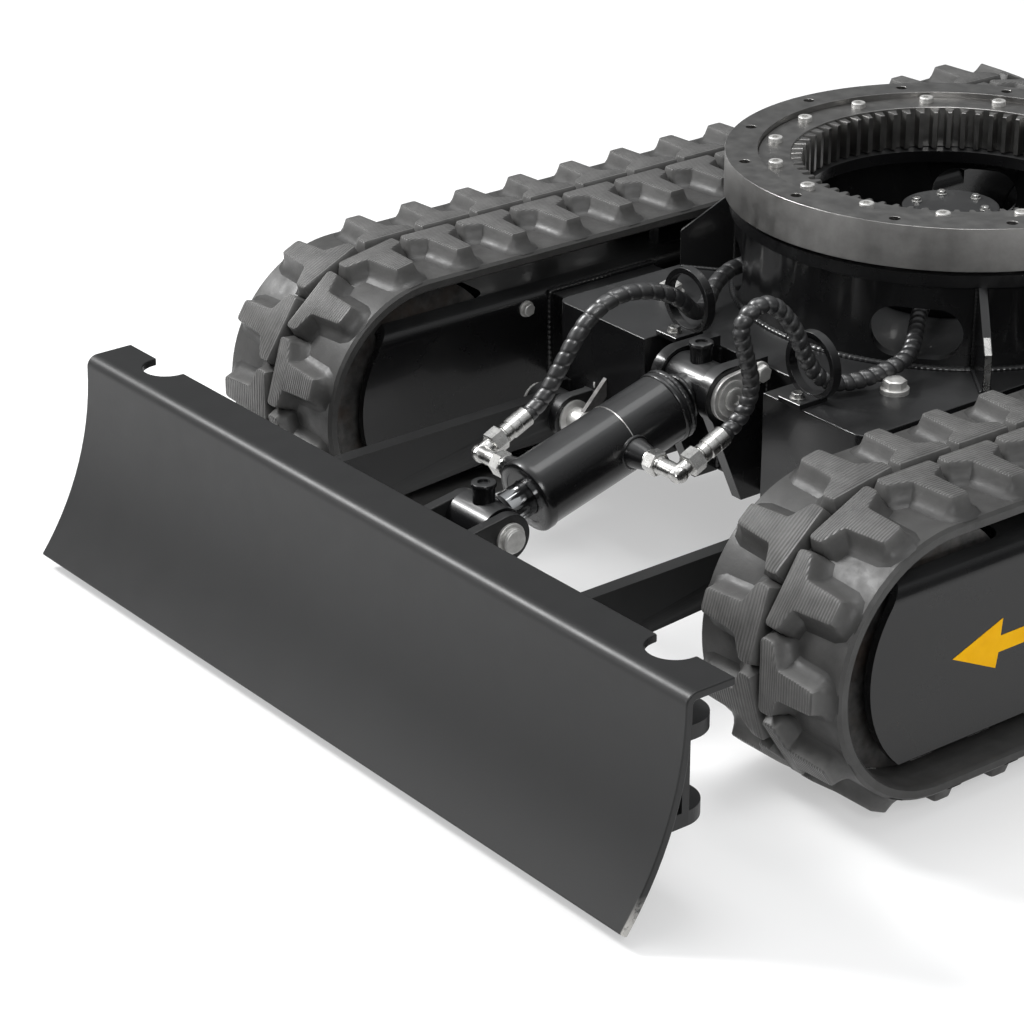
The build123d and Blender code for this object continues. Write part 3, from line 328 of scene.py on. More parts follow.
def marking_film():
    paint = Paint("marking_film", IOR=1.45, Specular_IOR_Level=0.12)
    paint.colour(paint.ramp(paint.noise(60, 6), (0.3, (0.86, 0.43, 0.003)), (0.8, (0.95, 0.51, 0.005))))
    paint.rough(paint.ramp(paint.noise(90, 4), (0.3, 0.50), (0.8, 0.64)))
    paint.bump((paint.noise(300, 3), 0.06, 0.2))
    return paint.material


LOOKS = {
    "frame_paint": frame_paint(),
    "blade_paint": blade_paint(),
    "track_rubber": track_rubber(),
    "hose_rubber": hose_rubber(),
    "zinc_steel": zinc_steel(),
    "rod_chrome": rod_chrome(),
    "ring_steel": ring_steel(),
    "worn_iron": worn_iron(),
}
FILM = marking_film()
DULL_ZINC = dull_zinc()


# Mesh tools
def keep(mesh, name, slot, body, sharp=35.0, look=None):
    """Shades a mesh, gives it a material and sets it on a body."""
    mesh.polygons.foreach_set("use_smooth", [True] * len(mesh.polygons))
    mesh.set_sharp_from_angle(angle=math.radians(sharp))
    mesh.materials.clear()
    mesh.materials.append(look or LOOKS[slot])
    piece = bpy.data.objects.new(name, mesh)
    bpy.context.scene.collection.objects.link(piece)
    if body:
        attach(piece, body)
    return piece


def dress(node, slot, body, edge=1.2, look=None):
    """Stands in for a CAD node with the same shape, its sharp edges eased."""
    made = bmesh.new()
    made.from_mesh(NODES[node].data)
    bmesh.ops.remove_doubles(made, verts=made.verts, dist=1e-5)
    bmesh.ops.dissolve_limit(made, angle_limit=math.radians(0.6), verts=made.verts, edges=made.edges)
    mesh = bpy.data.meshes.new(node + "_skin")
    made.to_mesh(mesh)
    made.free()
    piece = keep(mesh, node + "_skin", slot, body, look=look)
    bevel = piece.modifiers.new("eased_edges", "BEVEL")
    bevel.width = edge * MM
    bevel.segments = 2
    bevel.limit_method = "ANGLE"
    bevel.angle_limit = math.radians(38)
    bevel.harden_normals = True
    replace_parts(piece, node)
    return piece


class Batch:
    """Gathers shapes given in millimetres into one mesh."""

    def __init__(self):
        self.points = []
        self.faces = []
        self.land = []

    def add(self, points, faces, land=0.0):
        base = len(self.points)
        self.points += [Vector(p) for p in points]
        self.land += [land] * len(points)
        self.faces += [[base + i for i in face] for face in faces]

    def rings(self, rings, closed=False):
        """Skins rings of equal length into a loop, or a tube with closed ends."""
        count = len(rings[0])
        points = [p for ring in rings for p in ring]
        faces = []
        steps = len(rings) if closed else len(rings) - 1
        for r in range(steps):
            here, there = r * count, (r + 1) % len(rings) * count
            for i in range(count):
                j = (i + 1) % count
                faces.append((here + i, here + j, there + j, there + i))
        if not closed:
            faces.append(tuple(reversed(range(count))))
            faces.append(tuple(range(len(points) - count, len(points))))
        self.add(points, faces)

    def finish(self, name, slot, body, sharp=35.0, look=None, flip=False):
        mesh = bpy.data.meshes.new(name)
        side = -1 if flip else 1
        mesh.from_pydata([(p.x * MM * side, p.y * MM, p.z * MM) for p in self.points], [], self.faces)
        made = bmesh.new()
        made.from_mesh(mesh)
        bmesh.ops.recalc_face_normals(made, faces=made.faces)
        made.to_mesh(mesh)
        made.free()
        # The land attribute carries each point's share of the land colour; on the tread this is wear and
        # painted shade
        wear_and_shade = mesh.attributes.new("land", "FLOAT", "POINT")
        wear_and_shade.data.foreach_set("value", self.land)
        return keep(mesh, name, slot, body, sharp, look)


def across(axis):
    """Two directions square to an axis."""
    axis = Vector(axis).normalized()
    helper = Vector((0, 0, 1)) if abs(axis.z) < 0.9 else Vector((1, 0, 0))
    first = helper.cross(axis).normalized()
    return axis, first, axis.cross(first)


def lathe(batch, origin, axis, profile, sides=28, turn=0.0):
    """Turns (along, radius) pairs about an axis; six sides make a hexagon."""
    axis, first, second = across(axis)
    rings = []
    for along, radius in profile:
        middle = Vector(origin) + axis * along
        ring = []
        for i in range(sides):
            angle = turn + 2 * math.pi * i / sides
            ring.append(middle + (first * math.cos(angle) + second * math.sin(angle)) * radius)
        rings.append(ring)
    batch.rings(rings)


HEX_TURN = 0.3


def bolt(batch, origin, axis, size, washers=1):
    """A hexagon head on its washers, standing on a surface; the other sizes are shares of one."""
    origin, out = Vector(origin), Vector(axis).normalized()
    washer, washer_r = size * 0.2, size * 1.1
    head, head_r = size * 0.65, size * 0.9
    base = 0.0
    for _ in range(washers):
        lathe(batch, origin + out * base, axis,
              ((-1, washer_r), (size * 0.16, washer_r), (washer, size * 1.04)))
        base += washer
    lathe(batch, origin + out * base, axis, ((-1, head_r), (head * 0.86, head_r), (head, size * 0.76)),
          6, HEX_TURN)


def sweep(batch, points, radius, sides=12):
    """A tube along points; radius is a number or a function of length and angle."""
    points = [Vector(p) for p in points]
    rings = []
    run = 0.0
    first = across(points[1] - points[0])[1]
    for index, point in enumerate(points):
        before = points[max(index - 1, 0)]
        after = points[min(index + 1, len(points) - 1)]
        axis = (after - before).normalized()
        first = (first - axis * first.dot(axis)).normalized()
        second = axis.cross(first)
        if index:
            run += (point - before).length
        ring = []
        for i in range(sides):
            angle = 2 * math.pi * i / sides
            size = radius(run, angle) if callable(radius) else radius
            ring.append(point + (first * math.cos(angle) + second * math.sin(angle)) * size)
        rings.append(ring)
    batch.rings(rings)


def divided(points, step):
    """Points along a polyline, evenly spaced on each of its runs."""
    points = [Vector(p) for p in points]
    made = [points[0]]
    for start, end in zip(points, points[1:]):
        count = max(1, round((end - start).length / step))
        made += [start.lerp(end, i / count) for i in range(1, count + 1)]
    return made


def slab(batch, low, high, edge=1.0):
    """A block between two corners, its upper and lower edges eased."""
    rings = []
    for z, inset in ((low[2], edge), (low[2] + edge, 0), (high[2] - edge, 0), (high[2], edge)):
        x0, x1, y0, y1 = low[0] + inset, high[0] - inset, low[1] + inset, high[1] - inset
        rings.append([Vector(p) for p in ((x0, y0, z), (x1, y0, z), (x1, y1, z), (x0, y1, z))])
    batch.rings(rings)


def weld(batch, points, size=4.0):
    """A rippled bead, half sunk in the corner it fills."""
    def ripple(run, angle):
        return size * (0.84 + 0.16 * abs(math.sin(run * math.pi / (size * 1.3))))
    sweep(batch, divided(points, size * 0.42), ripple, 8)


def circle(middle, axis, radius, count):
    """Points round an axis, the last on the first."""
    axis, first, second = across(axis)
    made = []
    for i in range(count + 1):
        angle = math.radians(360.0 * i / count)
        made.append(Vector(middle) + (first * math.cos(angle) + second * math.sin(angle)) * radius)
    return made


# Tracks: a belt, two staggered rows of lugs whose lands are shaped like a T, and guide horns
def on_track(u, distance, radius):
    """A point on the left track, across it, along its pitch line and out from it."""
    wrap = TEETH * PITCH / 2
    runs = (wrap / 2, WHEELBASE, wrap, WHEELBASE, wrap / 2)
    starts = (0, math.pi / 2, math.pi / 2, 3 * math.pi / 2, 3 * math.pi / 2)
    along = distance % (LINKS * PITCH)
    index = 0
    while along > runs[index]:
        along -= runs[index]
        index += 1
    turn = starts[index] + (along / PITCH_R if index in (0, 2, 4) else 0)
    shift = {1: -along, 2: -WHEELBASE, 3: along - WHEELBASE}.get(index, 0)
    return Vector((TRACK_X + u, SPROCKET_Y + shift + radius * math.cos(turn),
                   AXLE_Z + radius * math.sin(turn)))


def eased(outline, size):
    """An outline with each corner cut to three points."""
    made = []
    for i, corner in enumerate(outline):
        corner = Vector(corner)
        before, after = Vector(outline[i - 1]), Vector(outline[(i + 1) % len(outline)])
        reach = min(size, (before - corner).length * 0.45, (after - corner).length * 0.45)
        first = corner + (before - corner).normalized() * reach
        last = corner + (after - corner).normalized() * reach
        made += [first, (first + last + corner * 2) / 4, last]
    return made


def grown(outline, distance):
    """An outline moved outwards, its points kept in step."""
    made = []
    for i, point in enumerate(outline):
        before, after = outline[i - 1], outline[(i + 1) % len(outline)]
        along = (after - before).normalized()
        made.append(point + Vector((along.y, -along.x)) * distance)
    return made


# Outlines are across and along the track. Steps are how far a ring is grown, and how high it lies.
LUG_LAND = [(4.5, -31), (19, -31), (29, -12), (74, -9.5), (74, 9.5), (29, 12), (19, 31), (4.5, 31)]
LUG_STEPS = ((-1.4, LUG_HEIGHT), (0, 18.3), (1.4, 14.0), (3.4, 8.5), (6.2, 4.0), (10.0, 1.2), (14.5, -0.4))
# Share of the land colour on each step, from the land down to the pocket floor: wear, and painted shade that
# deepens into the pocket
LUG_WEAR_AND_SHADE = (1.0, 1.0, 0.62, 0.50, 0.36, 0.18, 0.05)
LUG_DROP = 0.062           # share of their height that lugs lose on a bend
LUG_CORNER = 3.2
LUG_INNER, LUG_OUTER = 2.6, 89.6
LUG_REACH = 35.6           # half a pitch, less a gap
BEND_EASE = 40.0
# Share of the land colour on the belt between the lugs: wear and painted shade
BELT_WEAR_AND_SHADE = 0.30
RINGS_PER_LINK = 8
HORN_LAND = [(14, -14), (26, -14), (26, 14), (14, 14)]
HORN_STEPS = ((-1.5, -22.0), (0, -21.0), (2.0, -4.0), (2.5, 2.0))
CORE_PAD = [(29, -15), (46, -15), (46, 15), (29, 15)]
CORE_STEPS = ((-0.6, -0.7), (0, -0.4), (0.6, 0.6))
BELT_SECTION = [(-86, -13), (-90, -10), (-90, -3), (-87, 0), (-60, 0), (-4, 0), (-2.5, -1.2), (2.5, -1.2),
                (4, 0), (60, 0), (87, 0), (90, -3), (90, -10), (86, -13), (32, -13), (0, -13), (-32, -13)]


def bend_share(distance):
    """How far onto a bend a place on the track is: 0 on the straight runs, 1 well round."""
    wrap = TEETH * PITCH / 2
    along = (distance + wrap / 2) % (wrap + WHEELBASE)
    return max(0.0, min(1.0, along / BEND_EASE, (wrap - along) / BEND_EASE))


def raised(batch, outline, steps, side, distance, base):
    """A lug or horn: rings round an outline, laid on the track."""
    land = eased(outline, LUG_CORNER)
    rings = []
    for offset, height in steps:
        ring = []
        for p in grown(land, offset):
            u = side * min(max(p.x, LUG_INNER), LUG_OUTER)
            v = distance + min(max(p.y, -LUG_REACH), LUG_REACH)
            ring.append(on_track(u, v, base + height * (1 - LUG_DROP * bend_share(v))))
        rings.append(ring)
    count = len(land)
    faces = [tuple(range(count))]
    for r in range(len(rings) - 1):
        for i in range(count):
            j = (i + 1) % count
            faces.append((r * count + i, r * count + j, (r + 1) * count + j, (r + 1) * count + i))
    start = len(batch.points)
    batch.add([p for ring in rings for p in ring], faces)
    # Each ring takes its share of the land colour: wear, and painted shade down into the pocket
    for r, ring_wear_and_shade in enumerate(LUG_WEAR_AND_SHADE[:len(rings)]):
        batch.land[start + r * count:start + (r + 1) * count] = [ring_wear_and_shade] * count


def build_track(name, flip):
    """The left track, or its mirror image, with the steel pads that show inside it."""
    batch = Batch()
    belt = []
    for i in range(LINKS * RINGS_PER_LINK):
        belt.append([on_track(u, i * PITCH / RINGS_PER_LINK, BELT_R + h) for u, h in BELT_SECTION])
    batch.rings(belt, closed=True)
    batch.land = [BELT_WEAR_AND_SHADE] * len(batch.points)
    core = Batch()
    for link in range(LINKS):
        for side in (1, -1):
            raised(core, CORE_PAD, CORE_STEPS, side, link * PITCH, INNER_R)
        raised(batch, LUG_LAND, LUG_STEPS, 1, link * PITCH, BELT_R)
        raised(batch, LUG_LAND, LUG_STEPS, -1, (link + 0.5) * PITCH, BELT_R)
        raised(batch, HORN_LAND, HORN_STEPS, 1 if link % 2 == 0 else -1, link * PITCH, INNER_R)
    piece = batch.finish(name + "_tread", "track_rubber", "undercarriage", 42, flip=flip)
    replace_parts(piece, name)
    core.finish(name + "_core_pads", "zinc_steel", "undercarriage", flip=flip)


build_track("track_left", False)
build_track("track_right", True)

# Hoses in spiral guard, on the routes of the part's source
LEFT_ROUTE = ((106, -361, 268), (108, -377, 312), (110, -386, 342), (114, -356, 360), (120, -326, 330),
              (125, -312, 288), (131, -295, 265), (141, -267, 260), (150, -235, 266), (150, -201, 272),
              (128, -171, 280), (94, -133, 288), (62, -81, 291))
RIGHT_ROUTE = ((-90, -435, 252), (-83, -411, 293), (-78, -379, 311), (-73, -341, 309), (-70, -305, 294),
               (-76, -277, 266), (-95, -245, 262), (-122, -211, 272), (-130, -173, 281), (-94, -133, 288),
               (-62, -81, 291))
LEFT_GUIDE = middle_of("hose_guide_left")
RIGHT_GUIDE = middle_of("hose_guide_right")
HOSE_R = 8.5
HOSE_STRAIGHT = 20.0       # straight run out of the ferrule
SWIVEL_REACH = 35.36       # where a hose ends, aside and ahead of the slew axis


def smooth_line(name, points):
    """Points read from a NURBS spline through a route's control points."""
    curve = bpy.data.curves.new(name, "CURVE")
    curve.dimensions = "3D"
    curve.resolution_u = 40
    spline = curve.splines.new("NURBS")
    spline.points.add(len(points) - 1)
    for knot, point in zip(spline.points, points):
        knot.co = (*(Vector(point) * MM), 1)
    spline.order_u = 3
    spline.use_endpoint_u = True
    holder = bpy.data.objects.new(name, curve)
    mesh = bpy.data.meshes.new_from_object(holder)
    line = [v.co / MM for v in mesh.vertices]
    bpy.data.objects.remove(holder)
    bpy.data.curves.remove(curve)
    bpy.data.meshes.remove(mesh)
    return line


def build_hose(name, port, side, route, pitch, groove, flatness):
    """A hose from its ferrule to the swivel joint, in a guard with spiral grooves."""
    corner = FRAME_PIN + CYLINDER_AXIS * port + Vector((side * ELBOW_REACH, 0, 0))
    start = corner + RISE * FERRULE_END
    end = Vector((side * SWIVEL_REACH, SLEW_Y - SWIVEL_REACH, SWIVEL_PORT_Z))
    middle = [Vector((x, SLEW_Y + y, z)) for x, y, z in route]
    line = smooth_line(name + "_line", [start, start + RISE * HOSE_STRAIGHT] + middle + [end])

    def wound(run, angle):
        share = (run / pitch - angle / (2 * math.pi)) % 1.0
        return HOSE_R - groove * abs(2 * share - 1) ** flatness

    batch = Batch()
    sweep(batch, line, wound, 20)
    hose = batch.finish(name + "_guard", "hose_rubber", None, 60)
    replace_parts(hose, name)
    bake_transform(hose)


build_hose("hose_left", LEFT_PORT, 1, LEFT_ROUTE, pitch=11.0, groove=1.7, flatness=3)
build_hose("hose_right", RIGHT_PORT, -1, RIGHT_ROUTE, pitch=14.0, groove=1.2, flatness=5)

# CAD shapes that stay as they are, with their edges eased
for node in ("track_frame_left", "track_frame_right", "centre_frame", "frame_legs_left", "frame_legs_right",
             "arm_ears_left", "arm_ears_right", "cylinder_bracket", "pedestal", "hose_guide_left",
             "hose_guide_right", "travel_motor_left", "travel_motor_right", "travel_motor_body_left",
             "travel_motor_body_right", "swivel_joint"):
    dress(node, "frame_paint", "undercarriage", 1.5)
for node in ("idler_left", "idler_right", "idler_yoke_left", "idler_yoke_right", "track_rollers_left",
             "track_rollers_right", "sprocket_left", "sprocket_right"):
    dress(node, "worn_iron", "undercarriage")
for node in ("moldboard", "blade_stiffener", "push_arm_left", "push_arm_right", "blade_clevis"):
    dress(node, "blade_paint", "blade", 1.5)
for node in ("arm_pin_left", "arm_pin_right", "frame_pin"):
    dress(node, "zinc_steel", "undercarriage", 1.0, look=DULL_ZINC)
dress("blade_pin", "zinc_steel", "blade", 1.0, look=DULL_ZINC)
dress("cylinder_barrel", "frame_paint", "barrel", 1.5)
dress("cylinder_gland", "frame_paint", "barrel", 1.0)
ROD_EYE_REACH = 40.0       # faces nearer to the blade pin are painted
rod = dress("cylinder_rod", "rod_chrome", "rod", 1.0)
rod.data.materials.append(LOOKS["frame_paint"])
for face in rod.data.polygons:
    along = (face.center / MM - FRAME_PIN).dot(CYLINDER_AXIS)
    if along > CYLINDER_LENGTH - ROD_EYE_REACH:
        face.material_index = 1
dress("slew_ring_inner", "ring_steel", "undercarriage", 1.0)
dress("slew_ring_outer", "ring_steel", "slew", 1.0)

# Tension springs
SPRING_R, SPRING_WIRE_R = 25.0, 4.9
SPRING_START, SPRING_LENGTH = 155.5, 184.0     # from the idler's axle
SPRING_TURNS, POINTS_PER_TURN = 8, 20
for side, node in ((1, "tension_spring_left"), (-1, "tension_spring_right")):
    coil = Batch()
    helix = []
    for i in range(SPRING_TURNS * POINTS_PER_TURN + 1):
        angle = 2 * math.pi * i / POINTS_PER_TURN
        along = SPRING_START + SPRING_LENGTH * i / (SPRING_TURNS * POINTS_PER_TURN)
        helix.append((side * TRACK_X + SPRING_R * math.cos(angle), IDLER_Y + along,
                      AXLE_Z + SPRING_R * math.sin(angle)))
    sweep(coil, helix, SPRING_WIRE_R, 10)
    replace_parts(coil.finish(node + "_coil", "worn_iron", "undercarriage"), node)

# Port fittings: boss, adaptor, nut, elbow, nut and stepped ferrule, as pairs of place and radius
FERRULE = ((27, 8.2), (30, 8.2), (30.4, 9.6), (35.6, 9.6), (36.2, 8.9), (37.6, 8.9), (38.4, 10.4),
           (47, 10.5), (47.4, 10.2), (48.2, 10.2), (48.6, 10.5), (60.6, 10.5), (FERRULE_END, 9.4))
metal = Batch()
bosses = Batch()
for port, side in PORTS:
    foot = FRAME_PIN + CYLINDER_AXIS * port
    out = Vector((side, 0, 0))
    corner = foot + out * ELBOW_REACH
    lathe(bosses, foot + out * 30, out, ((0, 16), (7, 15.4), (9, 14.6), (25, 11.5), (26, 11)))
    lathe(metal, foot + out * 55, out, ((0, 9), (1, 9), (1.5, 11), (4, 11)))
    lathe(metal, foot + out * 58, out, ((0, 11.5), (1, 13), (13, 13), (14, 11.5)), 6)
    lathe(metal, foot + out * 70, out, ((0, 9.5), (4, 9.5), (6, 8)))
    lathe(metal, corner - out * 24, out, ((0, 7.6), (1, 8.4), (28, 8.4), (31, 7.2), (32.4, 5)), 20)
    lathe(metal, corner - RISE * 8.4, RISE, ((0, 5), (1.4, 7.2), (4.4, 8.4), (23, 8.4)), 20)
    lathe(metal, corner + RISE * 12, RISE, ((0, 11.5), (1, 13), (15, 13), (16, 11.5)), 6)
    lathe(metal, corner, RISE, FERRULE)
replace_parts(metal.finish("port_fittings", "zinc_steel", "barrel"), "cylinder_fittings")
bosses.finish("port_bosses", "frame_paint", "barrel")

# Direction arrows on the outer panels of the track frames
ARROW = ((-315.5, 137), (-254.5, 159), (-256.2, 142), (-205, 142), (-205, 126), (-257.8, 126), (-260.5, 111))
FILM_BACK, FILM_FACE = -0.2, 0.4               # from the panel's face
for side, name in ((1, "arrow_left"), (-1, "arrow_right")):
    arrow = Batch()
    arrow.rings([[Vector((TRACK_X + FRAME_X + depth, y, z)) for y, z in ARROW]
                 for depth in (FILM_BACK, FILM_FACE)])
    arrow.finish(name, "frame_paint", "undercarriage", look=FILM, flip=side < 0)

# Bolts, washers and pin ends
FLAG_TAIL = FRAME_PIN + Vector((48, 34, 19))
MOTOR_FACE, MOTOR_COVER = 46, 14               # outer face of the travel motor's case, and its cover on that
MOTOR_BODY = 60                                # length of its body inside the frame
KEEPER = ((0, 19), (2.4, 19), (3, 18))
KEEPER_OUT, KEEPER_IN = 32, 26                 # faces of the arm ears, from the arm's middle
plated = Batch()
straps = Batch()
for side in (1, -1):
    out = Vector((side, 0, 0))
    bolt(plated, (side * 165, SLEW_Y - 233, DECK_Z), UP, 13, 2)
    bolt(plated, (side * (TRACK_X - FRAME_X), SLEW_Y - 312, 211), -out, 8)
    case = Vector((side * (TRACK_X + MOTOR_FACE), SPROCKET_Y, AXLE_Z))
    cover = case + out * MOTOR_COVER
    for angle in range(0, 360, 45):
        spoke = side_spoke(angle + 22)
        bolt(plated, case + spoke * 65, out, 5)
        bolt(plated, cover + spoke * 44, out, 4)
    bolt(plated, cover + UP * 22, out, 7)
    # Inner end of the travel motor: cover bolts, flange bolts and two port plugs
    root = Vector((side * (TRACK_X - FRAME_X), SPROCKET_Y, AXLE_Z))
    for angle in range(0, 360, 60):
        spoke = side_spoke(angle)
        bolt(plated, root - out * MOTOR_BODY + spoke * 33, -out, 5)
        bolt(plated, root + spoke * 63, -out, 6)
    for along in (18, 42):
        bolt(plated, root - out * along + UP * 49, UP, 9)
    # Pin keepers on the arm ears
    pivot = Vector((side * ARM_X, PIVOT_Y, PIVOT_Z))
    inner = pivot - out * KEEPER_IN
    lathe(plated, pivot + out * KEEPER_OUT, out, KEEPER)
    lathe(plated, inner, -out, KEEPER)
    lathe(plated, inner, -out, ((2, 12.5), (20, 12.5), (21.5, 11)))
    bolt(plated, inner + Vector((0, 34, 29)), -out, 7)
    strap_end = Vector((side * 146, SLEW_Y - 291, 221))
    strap_foot = Vector((side * 146, SLEW_Y - 361, 150))
    leaning = (strap_end - strap_foot).normalized()
    broad = leaning.cross(out) * 7
    thick = out * 5
    straps.rings([[end + broad, end - broad, end - broad + thick, end + broad + thick]
                  for end in (strap_foot, strap_end)])
bolt(plated, FLAG_TAIL, (1, 0, 0), 10)
lathe(plated, FRAME_PIN + Vector((47.5, 0, 0)), (1, 0, 0), ((0, 19), (1.8, 19), (2.4, 18)))
lathe(plated, FRAME_PIN + Vector((49, 0, 0)), (1, 0, 0), ((0, 12), (3, 12), (4, 10.5), (4, 5), (2.6, 4)))
lathe(plated, FRAME_PIN - Vector((42, 0, 0)), (-1, 0, 0), ((0, 21), (3, 21), (4, 20)))
for angle in range(0, 360, 24):
    seat = Vector((0, SLEW_Y, 394)) + flat_spoke(angle) * 184
    lathe(plated, seat, UP, ((-2, 7.5), (4.6, 7.5), (5.4, 6.8), (5.4, 3.6), (2.5, 3.4)), 20)
plated.finish("plated_bolts", "zinc_steel", "undercarriage", look=DULL_ZINC)
straps.finish("pin_straps", "worn_iron", "undercarriage")

# Bright line round the barrel: a ring of bright metal, a painted highlight for a thin groove that catches
# the light
highlight_ring = Batch()
lathe(highlight_ring, FRAME_PIN + CYLINDER_AXIS * 112, CYLINDER_AXIS,
      ((0, 35.5), (0.2, 36.5), (1.2, 36.5), (1.4, 35.5)), 64)
highlight_ring.finish("barrel_highlight_line", "zinc_steel", "barrel")

# Washers and ends of the blade pin
blade_ends = Batch()
for side in (1, -1):
    out = Vector((side, 0, 0))
    lathe(blade_ends, BLADE_PIN + out * 47.4, out, ((0, 11.6), (1.4, 11.6), (2.2, 10.6)))
    lathe(blade_ends, BLADE_PIN + out * 40, out, ((0, 16), (2.4, 16), (3, 15.4)))
blade_ends.finish("blade_pin_washers", "zinc_steel", "blade", look=DULL_ZINC)

# Collars on the barrel: gland ring, cap band, welds, and the rim of the grease tube
BARREL_END = CYLINDER_LENGTH - 52.3
TUBE_TOP = 40.0            # above the pin
TUBE_RIM = ((0, 11), (0.6, 12.2), (4, 12.2), (4.6, 11.4), (4.6, 6.4), (2, 6))
collars = Batch()
lathe(collars, FRAME_PIN + CYLINDER_AXIS * (BARREL_END - 9), CYLINDER_AXIS,
      ((0, 36), (0.6, 37.4), (8, 37.4), (9.4, 36), (9.4, 27), (6, 26)), 48)
lathe(collars, FRAME_PIN + CYLINDER_AXIS * 46, CYLINDER_AXIS,
      ((0, 36), (0.8, 37.2), (5, 37.2), (6, 36)), 48)
weld(collars, circle(FRAME_PIN + CYLINDER_AXIS * 41, CYLINDER_AXIS, 33.5, count=120), 4.0)
weld(collars, circle(FRAME_PIN + CYLINDER_AXIS * 27, CYLINDER_AXIS, 22, count=80), 3.4)
for port, side in PORTS:
    out = Vector((side, 0, 0))
    weld(collars, circle(FRAME_PIN + CYLINDER_AXIS * port + out * 34.5, out, 15.4, count=60), 2.6)
lathe(collars, FRAME_PIN + UP * TUBE_TOP, UP, TUBE_RIM)
collars.finish("barrel_collars", "frame_paint", "barrel", 60)

# The rod's eye has the same rim, and a weld neck
rim = Batch()
lathe(rim, BLADE_PIN + UP * TUBE_TOP, UP, TUBE_RIM)
lathe(rim, BLADE_PIN, -CYLINDER_AXIS, ((20, 20), (24, 19), (27, 16.5), (30.5, 13)), 32)
rim.finish("rod_eye_rim", "frame_paint", "rod", 60)

# Gear teeth inside the slew ring
TOOTH_COUNT = 66
TOOTH_TIP_R, TOOTH_ROOT_R = 153.5, 166.0
TOOTH_TIP, TOOTH_ROOT = 2.4, 5.2               # half widths
teeth = Batch()
for i in range(TOOTH_COUNT):
    spoke = flat_spoke(360.0 * i / TOOTH_COUNT)
    along = Vector((-spoke.y, spoke.x, 0))
    rings = []
    for z, ease in ((352, 0.8), (353, 0), (391, 0), (392, 0.8)):
        middle = Vector((0, SLEW_Y, z))
        tip, root = middle + spoke * (TOOTH_TIP_R + ease), middle + spoke * TOOTH_ROOT_R
        half = along * (TOOTH_TIP - ease)
        rings.append([tip - half, tip + half, root + along * TOOTH_ROOT, root - along * TOOTH_ROOT])
    teeth.rings(rings)
teeth.finish("slew_gear_teeth", "ring_steel", "undercarriage")

# Bright edges of the two front gussets
DECK_MIDDLE = Vector((0, SLEW_Y, DECK_Z))
AHEAD = -90.0              # degrees in plan
edges = Batch()
for angle in (GUSSET_ANGLE, -GUSSET_ANGLE):
    spoke = flat_spoke(AHEAD + angle)
    beside = Vector((-spoke.y, spoke.x, 0)) * 3.2
    rings = []
    for reach, rise in ((280.3, 3), (280.3, 40), (226.3, 87)):
        middle = DECK_MIDDLE + spoke * reach + UP * rise
        rings.append([middle - spoke - beside, middle - spoke + beside, middle + beside, middle - beside])
    edges.rings(rings)
edges.finish("gusset_edges", "zinc_steel", "undercarriage")

# Feet of the hose guides, and the swivel joint's unions and bolts
FOOT_TOP_Z = DECK_Z + 5
FOOT_EDGE = 0.4
feet = Batch()
foot_bolts = Batch()
for guide in (LEFT_GUIDE, RIGHT_GUIDE):
    slab(feet, (guide.x - 15, guide.y - 30, DECK_Z - FOOT_EDGE), (guide.x + 15, guide.y + 6, FOOT_TOP_Z),
         FOOT_EDGE)
    bolt(foot_bolts, (guide.x, guide.y - 19, FOOT_TOP_Z), UP, 7)
feet.finish("guide_feet", "frame_paint", "undercarriage")
for side in (1, -1):
    flow = Vector((side, -1, 0)).normalized()
    port = Vector((0, SLEW_Y, SWIVEL_PORT_Z)) + flow * 48
    lathe(foot_bolts, port, flow, ((0, 14), (6, 14), (7, 13)), 6)
    lathe(foot_bolts, port, flow, ((6, 11.5), (16, 11.5), (17, 10.5)), 6, 0.4)
    lathe(foot_bolts, port + flow * 16, flow, ((0, 9.8), (14, 9.8), (15, 9.2)))
for angle in range(30, 390, 60):
    spoke = flat_spoke(angle)
    bolt(foot_bolts, DECK_MIDDLE + UP * 12 + spoke * 68, UP, 7)
    bolt(foot_bolts, DECK_MIDDLE + UP * 92 + spoke * 36, UP, 5)
foot_bolts.finish("deck_fasteners", "zinc_steel", "undercarriage")

# Welds on the frame and the blade
seams = Batch()
weld(seams, circle(DECK_MIDDLE, UP, DRUM_R, count=200), 4.5)
weld(seams, circle((0, SLEW_Y, DRUM_TOP_Z), UP, DRUM_R, count=200), 3.6)
for angle in (GUSSET_ANGLE, 180 - GUSSET_ANGLE, 180 + GUSSET_ANGLE, 360 - GUSSET_ANGLE):
    spoke = flat_spoke(AHEAD + angle)
    beside = Vector((-spoke.y, spoke.x, 0)) * 4
    for edge in (beside, -beside):
        toe = DECK_MIDDLE + spoke * 279 + edge
        heel = DECK_MIDDLE + spoke * (DRUM_R + 1) + edge
        weld(seams, (toe, heel, heel + UP * 86), 3.2)
for side in (1, -1):
    for middle in (-210, 110):
        y0, y1 = SLEW_Y + middle - 70, SLEW_Y + middle + 70
        for x in (228, 305):
            corners = ((y0, 130), (y0, 222), (y1, 222), (y1, 130))
            weld(seams, [(side * x, y, z) for y, z in corners], 4.5)
    for x in (28, 42):
        weld(seams, ((side * x, SLEW_Y - 285, 248), (side * x, SLEW_Y - 285, 118)), 3.4)
    for x in (166, 178, 206, 218):
        weld(seams, ((side * x, SLEW_Y - 333, 169), (side * x, SLEW_Y - 333, 123)), 3.4)
seams.finish("frame_welds", "frame_paint", "undercarriage", 60)

